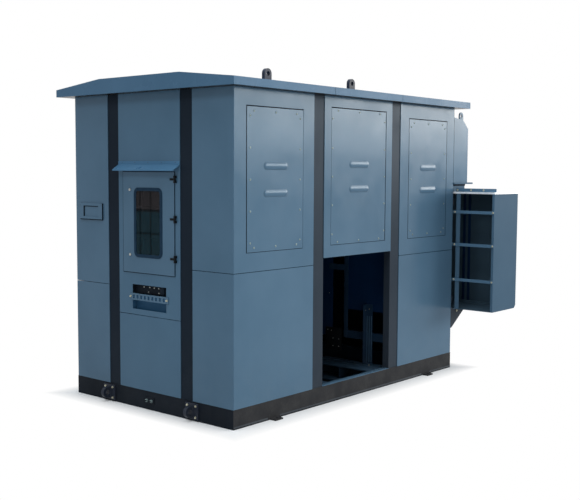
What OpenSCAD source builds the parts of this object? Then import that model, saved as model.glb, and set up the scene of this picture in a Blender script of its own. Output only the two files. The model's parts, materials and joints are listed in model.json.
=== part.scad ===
// Sheet-steel housing of a skid-mounted transformer substation.
// The origin is the middle of the four anchor bolts, at ground level.
// X runs along the long front, Y from the front to the back, and Z up.
// The front faces -Y, the end with the window door faces -X, the end with the cable box +X.

/* [Housing] */
// Length of the walls along the front
housing_l = 2860; // [2700:10:3100]
// Width of the walls from front to back
housing_w = 1720; // [1640:10:1900]
// Height of the wall tops above the ground
wall_top = 2345; // [2320:5:2500]
// Thickness of the wall sheet
sheet = 3; // [2:0.5:4]
// Depth of the folded edges of the wall panels
fold = 40; // [35:1:50]
// Outside radius of a folded corner
bend_r = 6; // [5:0.5:10]
// Gap left at a seam between two panels
seam = 4; // [2:0.5:6]

/* [Posts and bays] */
// Face width of a post
post_w = 125; // [110:1:140]
// Depth of a post from its face to its inner edges
post_d = 60; // [50:1:80]
// Thickness of the post sheet
post_sheet = 4; // [3:0.5:6]
// How far the post faces lie behind the panels
post_setback = 5; // [3:0.5:12]
// Width of the middle bay of a long side
side_bay_w = 890; // [800:5:980]
// Width of the middle bay of an end
end_bay_w = 670; // [640:5:720]
// Height of the seam in the front corner panels
front_seam_z = 1080; // [950:5:1150]
// Height of the seam in the back corner panels
back_seam_z = 908; // [800:4:1148]
// Height of the panel edge over the open bay
bay_top_z = 1126; // [950:2:1170]
// Height of the seam in the middle panels of the ends
end_seam_z = 703; // [640:1:725]

/* [Bolted covers] */
// Distance of a corner cover from the sides of its panel
corner_cover_in = 130; // [100:1:160]
// Distance of a corner cover from the wall top
corner_cover_down = 123; // [90:1:160]
// Height of the lower edge of the corner covers
corner_cover_z = 1220; // [1200:5:1250]
// Distance of a middle cover from the sides of its panel
mid_cover_in = 88; // [70:1:120]
// Distance of a middle cover from the wall top
mid_cover_down = 86; // [80:1:160]
// Height of the lower edge of the middle covers
mid_cover_z = 1223; // [1210:1:1240]
// How far a cover lies behind the face of its panel
cover_recess = 1; // [0.5:0.5:6]
// Width of the ledge that a cover is screwed to
cover_ledge = 35; // [30:1:45]
// Gap round a cover
cover_gap = 6; // [4.5:0.5:8]
// How far a cover hangs below the middle of its opening
cover_sag = 2; // [0:0.5:2.5]
// How far a cover sits to one side of its opening
cover_slip = 4; // [0:0.5:4]
// Length of a pressed stiffening bead on a cover
bead_l = 260; // [200:5:320]
// Width of a pressed bead
bead_w = 56; // [40:1:70]
// Height of a pressed bead
bead_rise = 5; // [3:0.5:6]
// Distance between the two beads of a cover
bead_pitch = 190; // [120:5:300]

/* [Base frame] */
// Height of the base channels
base_h = 140; // [120:1:160]
// Thickness of a base channel's web
base_web = 7; // [6:0.5:9]
// Width of a base channel's flanges
base_flange_w = 60; // [55:1:75]
// Thickness of a base channel's flanges
base_flange_t = 10; // [8:0.5:12]
// Width of a cross member
cross_w = 60; // [50:1:80]
// Thickness of a cross member's sheet
cross_t = 6; // [5:0.5:8]
// Distance of the anchor tabs from the middle, along the front
tab_x = 1010; // [900:5:1100]
// Width of an anchor tab
tab_w = 80; // [70:1:100]
// Reach of an anchor tab past the base
tab_out = 55; // [50:1:70]
// Thickness of an anchor tab
tab_t = 12; // [10:1:16]
// Diameter of an anchor bolt hole
tab_hole_d = 22; // [18:1:26]
// Distance of an anchor bolt from the base
tab_hole_out = 28; // [26:1:32]

/* [Towing eyes and earth terminal] */
// Distance of the towing eyes from the middle of the end
tow_y = 458; // [400:2:560]
// Width of a towing eye's plate
tow_plate_w = 130; // [110:1:150]
// Height of a towing eye's plate
tow_plate_h = 116; // [100:1:118]
// Thickness of a towing eye's plate
tow_plate_t = 12; // [10:1:16]
// Radius of the eye
tow_eye_r = 40; // [34:1:48]
// Thickness of the eye
tow_eye_t = 30; // [24:1:36]
// Diameter of the hole in the eye
tow_hole_d = 36; // [30:1:44]
// Distance of the hole from the end of the base
tow_hole_out = 40; // [36:1:50]
// Width of the earth terminal's plate
earth_w = 100; // [80:1:120]
// Height of the earth terminal's plate
earth_h = 44; // [40:1:60]
// Thickness of the earth terminal's plate
earth_t = 6; // [5:0.5:10]
// Diameter of an earth stud
earth_stud_d = 12; // [10:1:16]
// Length of an earth stud
earth_stud_l = 26; // [20:1:36]
// Distance between the earth studs
earth_pitch = 50; // [40:1:60]

/* [Roof] */
// Reach of the roof past the walls
roof_overhang = 100; // [80:2:120]
// Height of the roof's fascia
fascia_h = 55; // [45:1:70]
// Rise of the roof from the fascia to its flat top
roof_rise = 57; // [40:1:80]
// Width of the flat top
roof_flat_w = 870; // [860:5:950]
// Thickness of the roof sheet
roof_sheet = 3; // [2:0.5:4]
// How far the roof's soffit reaches in over the walls
soffit_in = 60; // [45:1:80]

/* [Lifting lugs] */
// Distance of the lugs from the middle, along the front
lug_x = 540; // [520:5:700]
// Distance of the lugs from the middle, across
lug_y = 362; // [300:1:370]
// Width of a lug
lug_w = 80; // [70:1:90]
// Thickness of a lug
lug_t = 30; // [24:1:36]
// Height of a lug's hole above the roof
lug_hole_h = 71; // [65:1:80]
// Diameter of a lug's hole
lug_hole_d = 36; // [30:1:42]
// Length of a lug's foot
lug_foot_l = 130; // [110:1:150]
// Width of a lug's foot
lug_foot_w = 84; // [70:1:96]
// Thickness of a lug's foot
lug_foot_t = 10; // [8:1:14]

/* [Window door] */
// Width of the door leaf
door_w = 560; // [520:2:580]
// Height of the door leaf's lower edge
door_z = 1022; // [1000:1:1040]
// Height of the door leaf
door_h = 746; // [700:2:760]
// Depth of the door leaf
door_d = 15; // [12:1:20]
// How far the closed door's face stands out of the wall
door_out = 5; // [5:0.5:8]
// Gap round and behind the closed door leaf
door_gap = 5; // [5:0.5:8]
// Thickness of the door's sheet
door_sheet = 2; // [1.5:0.5:3]
// How far the door's stop laps behind the leaf
door_lap = 25; // [20:1:35]
// Width of the window's rubber frame
window_w = 309; // [260:1:340]
// Height of the window's rubber frame
window_h = 516; // [440:1:540]
// Corner radius of the window's rubber frame
window_r = 45; // [36:1:60]
// Width of the rubber that shows
gasket_w = 24; // [18:1:30]
// Thickness of the rubber on each side of the door's sheet
gasket_lip = 4; // [3:0.5:5]
// How far the rubber laps over the door's sheet
gasket_lap = 8; // [6:1:10]
// Thickness of the window glass
glass_t = 5; // [4:0.5:6]
// How far the glass sits in the rubber
glass_edge = 8; // [6:1:10]
// Distance of the locks from the middle of the door
lock_x = 200; // [185:1:215]
// Distance of the locks from the middle of the door, up and down
lock_z = 242; // [200:1:280]
// Radius of a lock's head
lock_r = 10; // [9:0.5:13]
// Height of a lock's head
lock_h = 6; // [4:0.5:8]
// Radius of a lock's shank
lock_shank_r = 7; // [6:0.5:8]
// Thickness of a lock's tongue
lock_tongue_t = 4; // [3:0.5:5]
// Length of a lock's tongue
lock_tongue = 44; // [34:1:54]

/* [Door hinges] */
// Number of hinges
hinge_count = 3; // [2:1:3]
// Distance of the hinge axis from the edge of the door leaf
hinge_gap = 14; // [14:0.5:18]
// Height of the lowest hinge above the door's lower edge
hinge_z = 123; // [90:1:150]
// Distance between the hinges
hinge_pitch = 286; // [260:1:290]
// Height of a hinge
hinge_h = 52; // [46:2:60]
// Radius of a hinge barrel
hinge_r = 9; // [8:0.5:10]
// Radius of a hinge pin
pin_r = 4; // [3:0.5:5]
// Clearance between pin and barrel
pin_fit = 0.3; // [0.2:0.05:0.5]
// Reach of a hinge strap over the door
strap_l = 56; // [46:1:70]
// Height of a hinge strap
strap_h = 16; // [12:1:20]
// Thickness of the hinge plates
strap_t = 4; // [3:0.5:5]

/* [Rain hood and guard] */
// Height of the hood at the wall
hood_z = 1823; // [1815:1:1850]
// Reach of the hood
hood_out = 62; // [50:1:80]
// Height of the hood's lower edge above the door
hood_clear = 8; // [6:1:14]
// Height of the hood's lip
hood_lip = 10; // [6:1:14]
// Height of the hood's wall flange
hood_flange = 24; // [18:1:32]
// Width of the frame of the guard behind the window
guard_rim = 22; // [16:1:28]
// Thickness of the guard
guard_t = 5; // [4:0.5:8]
// Width of a guard bar
guard_bar = 6; // [4:0.5:8]
// Number of upright guard bars
guard_uprights = 5; // [3:1:9]
// Number of level guard bars
guard_levels = 2; // [2:1:9]

/* [Cable slot] */
// Width of the cable slot
slot_w = 372; // [340:2:400]
// Height of the cable slot's lower edge above the seam
slot_up = 43; // [30:1:60]
// Height of the cable slot
slot_h = 185; // [160:1:200]
// Length of the clamp bar
clamp_l = 424; // [420:2:460]
// Height of the clamp bar
clamp_h = 50; // [44:1:60]
// Thickness of the clamp bar
clamp_t = 6; // [4:0.5:8]
// Number of cable ties' slots in the clamp bar
clamp_slots = 9; // [5:1:11]
// Width of a tie slot
tie_w = 20; // [16:1:24]
// Height of a tie slot
tie_h = 26; // [20:1:32]
// Depth of the terminal strip behind the wall
terminal_in = 30; // [24:1:40]
// Height of the terminal strip
terminal_h = 66; // [56:1:67]
// Thickness of the terminal strip
terminal_t = 12; // [8:1:16]
// Depth of the plate behind the lower half of the slot
slot_plate_in = 42; // [41:1:60]
// Lap of that plate below the slot
slot_plate_lap = 16; // [10:1:20]

/* [Document frame] */
// Width of the frame
doc_w = 276; // [220:2:300]
// Height of the frame
doc_h = 122; // [100:2:140]
// Width of the frame's upper and lower borders
doc_border = 20; // [14:1:30]
// Width of the frame's side borders
doc_side = 48; // [36:1:60]
// Height of the frame off the wall
doc_out = 13; // [8:1:18]
// Height of the frame's lower edge
doc_z = 1402; // [1300:2:1500]

/* [Cable duct] */
// Width of the duct along the end wall
duct_w = 396; // [330:2:398]
// Reach of the duct past the end wall
duct_out = 243; // [200:1:300]
// Distance of the duct's top below the wall top
duct_down = 77; // [60:1:120]
// Fall of the duct's top to its sloped edge
duct_fall = 19; // [10:1:25]
// Width of the sloped edge of the duct's top
duct_slope_w = 92; // [70:1:110]
// Height of the sloped edge of the duct's top
duct_slope_h = 75; // [60:1:100]
// Reach of the duct's flange
duct_flange_out = 328; // [305:1:360]
// Thickness of the duct's flange
duct_flange_t = 14; // [8:1:16]
// Reach of the flange past the duct's front
duct_flange_front = 10; // [6:1:16]
// Reach of the neck below the flange
neck_out = 224; // [180:1:240]
// How far the neck lies behind the duct's front
neck_in = 15; // [8:1:25]
// Height of the neck between the cable box and the flange
neck_h = 68; // [60:1:120]
// Width of the duct's lifting eye
duct_eye_w = 66; // [56:1:76]
// Height of the hole in the duct's lifting eye above the duct
duct_eye_up = 36; // [34:1:44]
// Diameter of the hole in the duct's lifting eye
duct_eye_d = 30; // [24:1:36]
// Thickness of the duct's lifting eye
duct_eye_t = 10; // [8:1:14]

/* [Cable box] */
// Height of the cable box's lower edge
box_z = 540; // [500:2:600]
// Height of the cable box
box_h = 1060; // [980:1:1065]
// Gap between the cable box and the end wall
box_gap = 20; // [15:1:30]
// Depth of the cable box away from the end wall
box_d = 435; // [350:1:460]
// Reach of the cable box past the front wall
box_front = 406; // [350:2:440]
// Reach of the cable box along the end wall
box_back = 396; // [330:2:398]
// Size of the cut lower corner
box_cut = 26; // [16:1:36]
// Width of the post beside the cable box's opening
box_post_w = 41; // [34:1:65]
// Distance of that post from the front wall
box_post_gap = 24; // [12:1:30]
// Reach of the narrow opening beside that post behind the front wall
box_slot_in = 15; // [8:1:25]
// Width of the rim at the opening's outer edge
box_rim = 22; // [18:1:28]
// Height of the lid's rim
lid_rim = 16; // [8:1:20]
// Height of the bolted strip on the lid
strip_h = 31; // [22:1:36]
// Thickness of the bolted strip
strip_t = 5; // [4:0.5:8]
// Distance of the strip from the lid's edge
strip_in = 30; // [20:1:50]
// Distance of the strip's ends from the lid's front and from the wall
strip_end = 2; // [1:0.5:10]
// Height of a clamp rail
rail_h = 27; // [24:1:36]
// Thickness of a clamp rail
rail_t = 5; // [4:0.5:8]
// Height of the lowest clamp rail above the box's lower edge
rail_low = 256; // [180:2:280]
// Distance of the highest clamp rail from the box's top
rail_high = 164; // [100:1:200]
// Lap of a clamp rail on the box behind the narrow opening
rail_lap = 20; // [12:1:30]
// Reach of a bracket under the box
bracket_out = 268; // [180:2:300]
// Height of a bracket
bracket_h = 176; // [150:2:210]
// Thickness of a bracket
bracket_t = 8; // [6:1:10]
// Width of a bracket's folded edge
bracket_edge = 12; // [8:1:50]
// Height of a spacer bar between the box and the wall
spacer_h = 60; // [40:2:80]
// Distance of the spacer bars from the box's lower and upper edges
spacer_in = 60; // [40:2:90]

/* [Inner frame] */
// Height of the partition's front lower edge
partition_z = 580; // [560:5:650]
// Height of the partition's back lower edge
partition_back_z = 325; // [300:5:340]
// Distance of the partition's slot from the middle, to the front
void_y = 301; // [280:1:330]
// Width of the partition's slot
void_w = 133; // [100:1:160]
// Height of the partition's slot above the ground
void_top = 1100; // [1050:5:1200]
// Width of the bar beside the slot
edge_bar_w = 37; // [30:1:50]
// Height of the header across the slot above the ground
header_z = 918; // [880:2:960]
// Height of the header's section
header_h = 50; // [40:1:60]
// Distance of the strut from the front wall
strut_in = 257; // [200:1:320]
// Width of the strut
strut_w = 60; // [50:1:80]
// Lap of the strut on the partition
strut_lap = 60; // [40:1:80]
// Height of the inner rail
inner_rail_z = 325; // [300:5:360]
// Height of the inner rail's section
inner_rail_h = 66; // [50:1:80]
// Depth of the inner rail's section
inner_rail_d = 40; // [30:1:50]

/* [Hidden] */
$fn = 48;
// Overrun of every cut
cut = 1;
x_end = housing_l / 2;
y_side = housing_w / 2;
mid_half = side_bay_w / 2;
end_half = end_bay_w / 2;
side_corner_w = x_end - mid_half - post_w;
end_corner_w = y_side - end_half - post_w;
corner_cover_w = side_corner_w - 2 * corner_cover_in;
corner_cover_h = wall_top - corner_cover_down - corner_cover_z;
mid_cover_w = side_bay_w - 2 * mid_cover_in;
mid_cover_h = wall_top - mid_cover_down - mid_cover_z;
post_in = post_setback + post_d;
half_seam = seam / 2;
cover_back = cover_recess + 2 * sheet;
// Radius of a bead's round back, from its width and height
bead_r = (bead_w * bead_w / 4 + bead_rise * bead_rise) / (2 * bead_rise);
roof_half = y_side + roof_overhang;
roof_end = x_end + roof_overhang;
roof_top = wall_top + fascia_h + roof_rise;
lug_r = lug_w / 2;
door_back = door_d - door_out;
stop_y = door_back + door_gap;
door_top = door_z + door_h;
door_mid_z = door_z + door_h / 2;
hinge_x = door_w / 2 + hinge_gap;
hinge_out = door_out + hinge_r;
hood_edge_z = door_top + hood_clear;
opening_w = door_w + 2 * door_gap;
opening_h = door_h + 2 * door_gap;
slot_z = end_seam_z + slot_up;
clamp_z = slot_z + (slot_h - clamp_h) / 2;
terminal_z = slot_z + slot_h - terminal_h;
terminal_leg = (clamp_l - slot_w) / 2;
box_x = x_end + box_gap;
box_out = box_x + box_d;
box_y = -y_side - box_front;
box_far = -y_side + box_back;
box_top = box_z + box_h;
lid_top = box_top + sheet;
neck_z = lid_top + neck_h;
duct_z = neck_z + duct_flange_t;
duct_top = wall_top - duct_down;
duct_edge = duct_out - duct_slope_w;
duct_eye_x = duct_edge - duct_eye_w / 2;
rail_span = box_h - rail_low - rail_high - rail_h;
box_post_y = -y_side - box_post_gap - box_post_w;
box_slot_y = box_slot_in - y_side;
partition_x = mid_half + post_w - sheet;
inner_half = y_side - post_in;
// Places of the cross members along the base, as shares of half its length
cross_shares = [-0.66, -0.2, 0.78];
// Places of the clamp rails between the lowest and the highest, as shares of that height
rail_shares = [0, 0.52, 1];
// The two sides of a middle
sides = [-1, 1];

panel_blue = [0.31, 0.41, 0.51];
frame_grey = [0.16, 0.17, 0.18];
lug_navy = [0.13, 0.17, 0.24];
zinc = [0.72, 0.70, 0.62];
rubber_black = [0.05, 0.05, 0.06];
glass_grey = [0.25, 0.30, 0.33];

// A block between two corners
module block(low, high) {
    translate(low) cube(high - low);
}

// Stands what is drawn for the front wall on another wall; reach is the wall's distance
module on_wall(turn, reach) {
    rotate(turn) translate([0, -reach, 0]) children();
}

module on_front() { on_wall(0, y_side) children(); }
module on_back() { on_wall(180, y_side) children(); }
module on_left() { on_wall(-90, x_end) children(); }
module on_right() { on_wall(90, x_end) children(); }

// Moves what is drawn at the front left corner to any corner
module at_corner(side_x, side_y) {
    translate([side_x * x_end, side_y * y_side, 0])
        mirror([side_x > 0 ? 1 : 0, 0, 0])
            mirror([0, side_y > 0 ? 1 : 0, 0])
                children();
}

// A flat shape with round corners, centred
module rounded(w, h, r) {
    square([w - 2 * r, h], center = true);
    square([w, h - 2 * r], center = true);
    for (sx = sides, sz = sides)
        translate([sx * (w / 2 - r), sz * (h / 2 - r)]) circle(r);
}

// Stands a flat shape upright facing the front, from y to y + depth
module upright(y, depth) {
    translate([0, y + depth, 0]) rotate([90, 0, 0]) linear_extrude(depth) children();
}

// Lays a flat shape of Y and Z out along X
module along_x(from, to) {
    translate([from, 0, 0]) rotate([90, 0, 90]) linear_extrude(to - from) children();
}

// Plan of a folded corner panel, with its corner at the origin
module folded_plan(inset, depth) {
    r = bend_r - inset;
    difference() {
        translate([inset, inset])
            square([side_corner_w - 2 * inset, end_corner_w - 2 * inset]);
        translate([depth, depth]) square([side_corner_w, end_corner_w]);
        translate([inset, inset]) square(r);
    }
    translate([bend_r, bend_r]) circle(r);
}

module corner_panel(low, high) {
    difference() {
        translate([0, 0, low]) linear_extrude(high - low) folded_plan(0, fold);
        translate([0, 0, low + sheet])
            linear_extrude(high - low - 2 * sheet) folded_plan(sheet, fold + cut);
    }
}

module flat_panel(w, low, high) {
    difference() {
        block([-w / 2, 0, low], [w / 2, fold, high]);
        block([sheet - w / 2, sheet, low + sheet], [w / 2 - sheet, fold + cut, high - sheet]);
    }
}

// The opening that a cover closes, cut through the panel
module cover_cut(w, z, h) {
    block([-w / 2 - cover_gap, -cut, z - cover_gap],
        [w / 2 + cover_gap, sheet + cut, z + h + cover_gap]);
}

// The stepped ledge round that opening
module cover_seat(w, z, h) {
    rim = cover_gap + sheet;
    difference() {
        block([-w / 2 - rim, 0, z - rim], [w / 2 + rim, cover_back, z + h + rim]);
        block([-w / 2 - cover_gap, -cut, z - cover_gap],
            [w / 2 + cover_gap, cover_recess + sheet, z + h + cover_gap]);
        block([cover_ledge - w / 2, -cut, z + cover_ledge],
            [w / 2 - cover_ledge, cover_back + cut, z + h - cover_ledge]);
    }
}

// A pressed bead: the cap of a round-ended bar that stands out of the plate
module bead() {
    reach = bead_l / 2 - bead_w / 2;
    deep = bead_r - bead_rise;
    intersection() {
        block([-bead_l, -bead_rise, -bead_w], [bead_l, sheet, bead_w]);
        translate([0, deep, 0]) {
            translate([-reach, 0, 0]) rotate([0, 90, 0]) cylinder(h = 2 * reach, r = bead_r);
            for (side = sides) translate([side * reach, 0, 0]) sphere(bead_r);
        }
    }
}

module cover(w, z, h, slip) {
    translate([slip, cover_recess, -cover_sag]) {
        block([-w / 2, 0, z], [w / 2, sheet, z + h]);
        for (side = sides)
            translate([0, 0, z + h / 2 + side * bead_pitch / 2]) bead();
    }
}

module upper_corner(low) {
    mid = [side_corner_w / 2, 0, 0];
    difference() {
        corner_panel(low, wall_top);
        translate(mid) cover_cut(corner_cover_w, corner_cover_z, corner_cover_h);
    }
    translate(mid) cover_seat(corner_cover_w, corner_cover_z, corner_cover_h);
}

module corner_cover(slip) {
    translate([side_corner_w / 2, 0, 0])
        cover(corner_cover_w, corner_cover_z, corner_cover_h, slip);
}

module upper_middle(low) {
    difference() {
        flat_panel(side_bay_w, low, wall_top);
        cover_cut(mid_cover_w, mid_cover_z, mid_cover_h);
    }
    cover_seat(mid_cover_w, mid_cover_z, mid_cover_h);
}

// A post: a channel that is open to the inside
module post() {
    inner = post_w / 2 - post_sheet;
    difference() {
        block([-post_w / 2, post_setback, base_h], [post_w / 2, post_in, wall_top]);
        block([-inner, post_setback + post_sheet, base_h - cut], [inner, post_in + cut, wall_top + cut]);
    }
}

module two_posts(bay_half) {
    for (side = sides) translate([side * (bay_half + post_w / 2), 0, 0]) post();
}

// The ring of base channels, open to the inside
module base_ring() {
    difference() {
        block([-x_end, -y_side, 0], [x_end, y_side, base_h]);
        block([base_flange_w - x_end, base_flange_w - y_side, -cut],
            [x_end - base_flange_w, y_side - base_flange_w, base_h + cut]);
        block([base_web - x_end, base_web - y_side, base_flange_t],
            [x_end - base_web, y_side - base_web, base_h - base_flange_t]);
    }
}

// The wedge that cuts the ring along its corners' diagonals
module mitre_wedge(half_l, half_w) {
    depth = 2 * base_flange_w;
    translate([0, 0, -cut]) linear_extrude(base_h + 2 * cut)
        polygon([[-half_l, -half_w], [half_l, -half_w],
            [half_l - depth, depth - half_w], [depth - half_l, depth - half_w]]);
}

module base_side_rails() {
    color(frame_grey)
        for (turn = [0, 180])
            rotate(turn) intersection() {
                base_ring();
                mitre_wedge(x_end, y_side);
            }
}

module base_end_rails() {
    color(frame_grey)
        for (turn = [0, 180])
            rotate(turn) intersection() {
                base_ring();
                rotate(90) mitre_wedge(y_side, x_end);
            }
}

// Cross members between the side rails, set in their channels
module base_cross_members() {
    reach = y_side - base_web;
    low = base_flange_t;
    high = base_h - base_flange_t;
    places = concat([for (share = cross_shares) share * x_end], [partition_x - cross_w / 2]);
    color(frame_grey)
        for (x = places)
            translate([x, 0, 0]) difference() {
                block([-cross_w / 2, -reach, low], [cross_w / 2, reach, high]);
                block([cross_t - cross_w / 2, -reach - cut, low + cross_t],
                    [cross_w / 2 + cut, reach + cut, high - cross_t]);
            }
}

module anchor_tabs() {
    color(frame_grey)
        for (side = [0, 180], sx = sides)
            rotate(side) translate([sx * tab_x, -y_side, 0]) difference() {
                block([-tab_w / 2, -tab_out, 0], [tab_w / 2, 0, tab_t]);
                translate([0, -tab_hole_out, -cut]) cylinder(h = tab_t + 2 * cut, d = tab_hole_d);
            }
}

// A towing eye: a plate on the base and an upright eye with its hole across
module tow_eye() {
    mid = base_h / 2;
    difference() {
        union() {
            block([-tow_plate_w / 2, -tow_plate_t, mid - tow_plate_h / 2],
                [tow_plate_w / 2, 0, mid + tow_plate_h / 2]);
            block([-tow_eye_t / 2, -tow_hole_out, mid - tow_eye_r],
                [tow_eye_t / 2, 0, mid + tow_eye_r]);
            translate([-tow_eye_t / 2, -tow_hole_out, mid]) rotate([0, 90, 0])
                cylinder(h = tow_eye_t, r = tow_eye_r);
        }
        translate([-tow_eye_t, -tow_hole_out, mid]) rotate([0, 90, 0])
            cylinder(h = 2 * tow_eye_t, d = tow_hole_d);
    }
}

module two_tow_eyes() {
    color(lug_navy) for (side = sides) translate([side * tow_y, 0, 0]) tow_eye();
}

module left_tow_eyes() { on_left() two_tow_eyes(); }
module right_tow_eyes() { on_right() two_tow_eyes(); }

module earth_terminal() {
    color(zinc) on_left() translate([0, 0, base_h / 2]) {
        block([-earth_w / 2, -earth_t, -earth_h / 2], [earth_w / 2, 0, earth_h / 2]);
        for (side = sides)
            translate([side * earth_pitch / 2, 0, 0]) rotate([90, 0, 0])
                cylinder(h = earth_stud_l, d = earth_stud_d);
    }
}

module front_posts() { color(frame_grey) on_front() two_posts(mid_half); }
module back_posts() { color(frame_grey) on_back() two_posts(mid_half); }
module left_posts() { color(frame_grey) on_left() two_posts(end_half); }
module right_posts() { color(frame_grey) on_right() two_posts(end_half); }

module lower_corner(side_x, side_y, seam_z) {
    color(panel_blue) at_corner(side_x, side_y) corner_panel(base_h, seam_z - half_seam);
}

module front_left_lower_panel() { lower_corner(-1, -1, front_seam_z); }
module front_right_lower_panel() { lower_corner(1, -1, front_seam_z); }
module back_left_lower_panel() { lower_corner(-1, 1, back_seam_z); }
module back_right_lower_panel() { lower_corner(1, 1, back_seam_z); }

module upper_corner_at(side_x, side_y, seam_z) {
    color(panel_blue) at_corner(side_x, side_y) upper_corner(seam_z + half_seam);
}

module front_left_upper_panel() { upper_corner_at(-1, -1, front_seam_z); }
module front_right_upper_panel() { upper_corner_at(1, -1, front_seam_z); }
module back_left_upper_panel() { upper_corner_at(-1, 1, back_seam_z); }
module back_right_upper_panel() { upper_corner_at(1, 1, back_seam_z); }

module front_middle_panel() { color(panel_blue) on_front() upper_middle(bay_top_z); }
module back_middle_panel() { color(panel_blue) on_back() upper_middle(bay_top_z + half_seam); }

module back_middle_lower_panel() {
    color(panel_blue) on_back() flat_panel(side_bay_w, base_h, bay_top_z - half_seam);
}

// The end panel with the cable slot and the door's opening, folded in to the door's stop
module left_end_panel() {
    color(panel_blue) on_left() {
        difference() {
            flat_panel(end_bay_w, end_seam_z + half_seam, wall_top);
            block([-opening_w / 2, -cut, door_z - door_gap],
                [opening_w / 2, sheet + cut, door_top + door_gap]);
            block([-slot_w / 2, -cut, slot_z], [slot_w / 2, sheet + cut, slot_z + slot_h]);
        }
        translate([0, 0, door_mid_z]) upright(0, stop_y) difference() {
            square([opening_w + 2 * sheet, opening_h + 2 * sheet], center = true);
            square([opening_w, opening_h], center = true);
        }
    }
}

module end_lower() { flat_panel(end_bay_w, base_h, end_seam_z - half_seam); }

module left_end_lower_panel() { color(panel_blue) on_left() end_lower(); }
module right_end_lower_panel() { color(panel_blue) on_right() end_lower(); }

module right_end_panel() {
    color(panel_blue) on_right() flat_panel(end_bay_w, end_seam_z + half_seam, wall_top);
}

module front_left_cover() { color(panel_blue) at_corner(-1, -1) corner_cover(cover_slip); }
module front_right_cover() { color(panel_blue) at_corner(1, -1) corner_cover(-cover_slip / 2); }
module back_left_cover() { color(panel_blue) at_corner(-1, 1) corner_cover(cover_slip); }
module back_right_cover() { color(panel_blue) at_corner(1, 1) corner_cover(-cover_slip / 2); }

module front_middle_cover() {
    color(panel_blue) on_front() cover(mid_cover_w, mid_cover_z, mid_cover_h, -cover_slip / 2);
}

module back_middle_cover() {
    color(panel_blue) on_back() cover(mid_cover_w, mid_cover_z, mid_cover_h, -cover_slip / 2);
}

// Half-open section of the roof: a low trapezoid that stands on the walls
module roof_section(inset) {
    half = roof_half - inset;
    flat = roof_flat_w / 2;
    edge = wall_top + fascia_h - inset;
    polygon([[-half, wall_top + inset], [half, wall_top + inset], [half, edge],
        [flat, roof_top - inset], [-flat, roof_top - inset], [-half, edge]]);
}

// One roof segment: a folded sheet shell with a soffit under its edges
module roof_segment(from, to) {
    closed_from = from < -x_end ? roof_sheet : -cut;
    closed_to = to > x_end ? roof_sheet : -cut;
    difference() {
        along_x(from, to) roof_section(0);
        along_x(from + closed_from, to - closed_to) roof_section(roof_sheet);
        block([soffit_in - x_end, soffit_in - y_side, wall_top - cut],
            [x_end - soffit_in, y_side - soffit_in, wall_top + roof_sheet + cut]);
    }
}

module roof_left() { color(panel_blue) roof_segment(-roof_end, -mid_half - half_seam); }
module roof_middle() { color(panel_blue) roof_segment(half_seam - mid_half, mid_half - half_seam); }
module roof_right() { color(panel_blue) roof_segment(mid_half + half_seam, roof_end); }

// A lifting lug: a foot on the roof and an upright eye with its hole across
module lifting_lug() {
    difference() {
        union() {
            block([-lug_foot_l / 2, -lug_foot_w / 2, 0], [lug_foot_l / 2, lug_foot_w / 2, lug_foot_t]);
            block([-lug_r, -lug_t / 2, 0], [lug_r, lug_t / 2, lug_hole_h]);
            translate([0, lug_t / 2, lug_hole_h]) rotate([90, 0, 0]) cylinder(h = lug_t, r = lug_r);
        }
        translate([0, lug_t, lug_hole_h]) rotate([90, 0, 0]) cylinder(h = 2 * lug_t, d = lug_hole_d);
    }
}

module two_lugs(y) {
    color(lug_navy) for (side = sides) translate([side * lug_x, y, roof_top]) lifting_lug();
}

module front_lifting_lugs() { two_lugs(-lug_y); }
module back_lifting_lugs() { two_lugs(lug_y); }

// The bent sheet over the door: wall flange, slope and lip
module rain_hood() {
    color(panel_blue) on_left() along_x(-end_half, end_half)
        polygon([[0, hood_z + hood_flange], [-sheet, hood_z + hood_flange], [-sheet, hood_z],
            [-hood_out, hood_edge_z + hood_lip], [-hood_out, hood_edge_z],
            [sheet - hood_out, hood_edge_z], [sheet - hood_out, hood_edge_z + hood_lip - sheet],
            [0, hood_z - 2 * sheet]]);
}

// The door leaf: a shallow tray with the window cut through it
module door_leaf() {
    color(panel_blue) on_left() difference() {
        block([-door_w / 2, -door_out, door_z], [door_w / 2, door_back, door_top]);
        block([door_sheet - door_w / 2, door_sheet - door_out, door_z + door_sheet],
            [door_w / 2 - door_sheet, door_back + cut, door_top - door_sheet]);
        translate([0, 0, door_mid_z]) upright(-door_out - cut, door_d)
            rounded(window_w - 2 * gasket_lap, window_h - 2 * gasket_lap, window_r - gasket_lap);
        for (side = sides)
            translate([-lock_x, 0, door_mid_z + side * lock_z]) upright(-door_out - cut, door_d)
                circle(lock_shank_r);
    }
}

// Rubber glazing strip, with a groove for the sheet and one for the glass
module window_rubber() {
    clear_w = window_w - 2 * gasket_w;
    clear_h = window_h - 2 * gasket_w;
    depth = 2 * gasket_lip + door_sheet;
    glass_w = clear_w + 2 * glass_edge;
    glass_h = clear_h + 2 * glass_edge;
    glass_y = (depth - glass_t) / 2;
    color(rubber_black) on_left() translate([0, -door_out - gasket_lip, door_mid_z]) difference() {
        upright(0, depth) rounded(window_w, window_h, window_r);
        upright(-cut, depth + 2 * cut) rounded(clear_w, clear_h, window_r - gasket_w);
        upright(gasket_lip, door_sheet) difference() {
            rounded(window_w + cut, window_h + cut, window_r);
            rounded(window_w - 2 * gasket_lap, window_h - 2 * gasket_lap, window_r - gasket_lap);
        }
        upright(glass_y, glass_t) rounded(glass_w, glass_h, window_r - gasket_w + glass_edge);
    }
}

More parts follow.
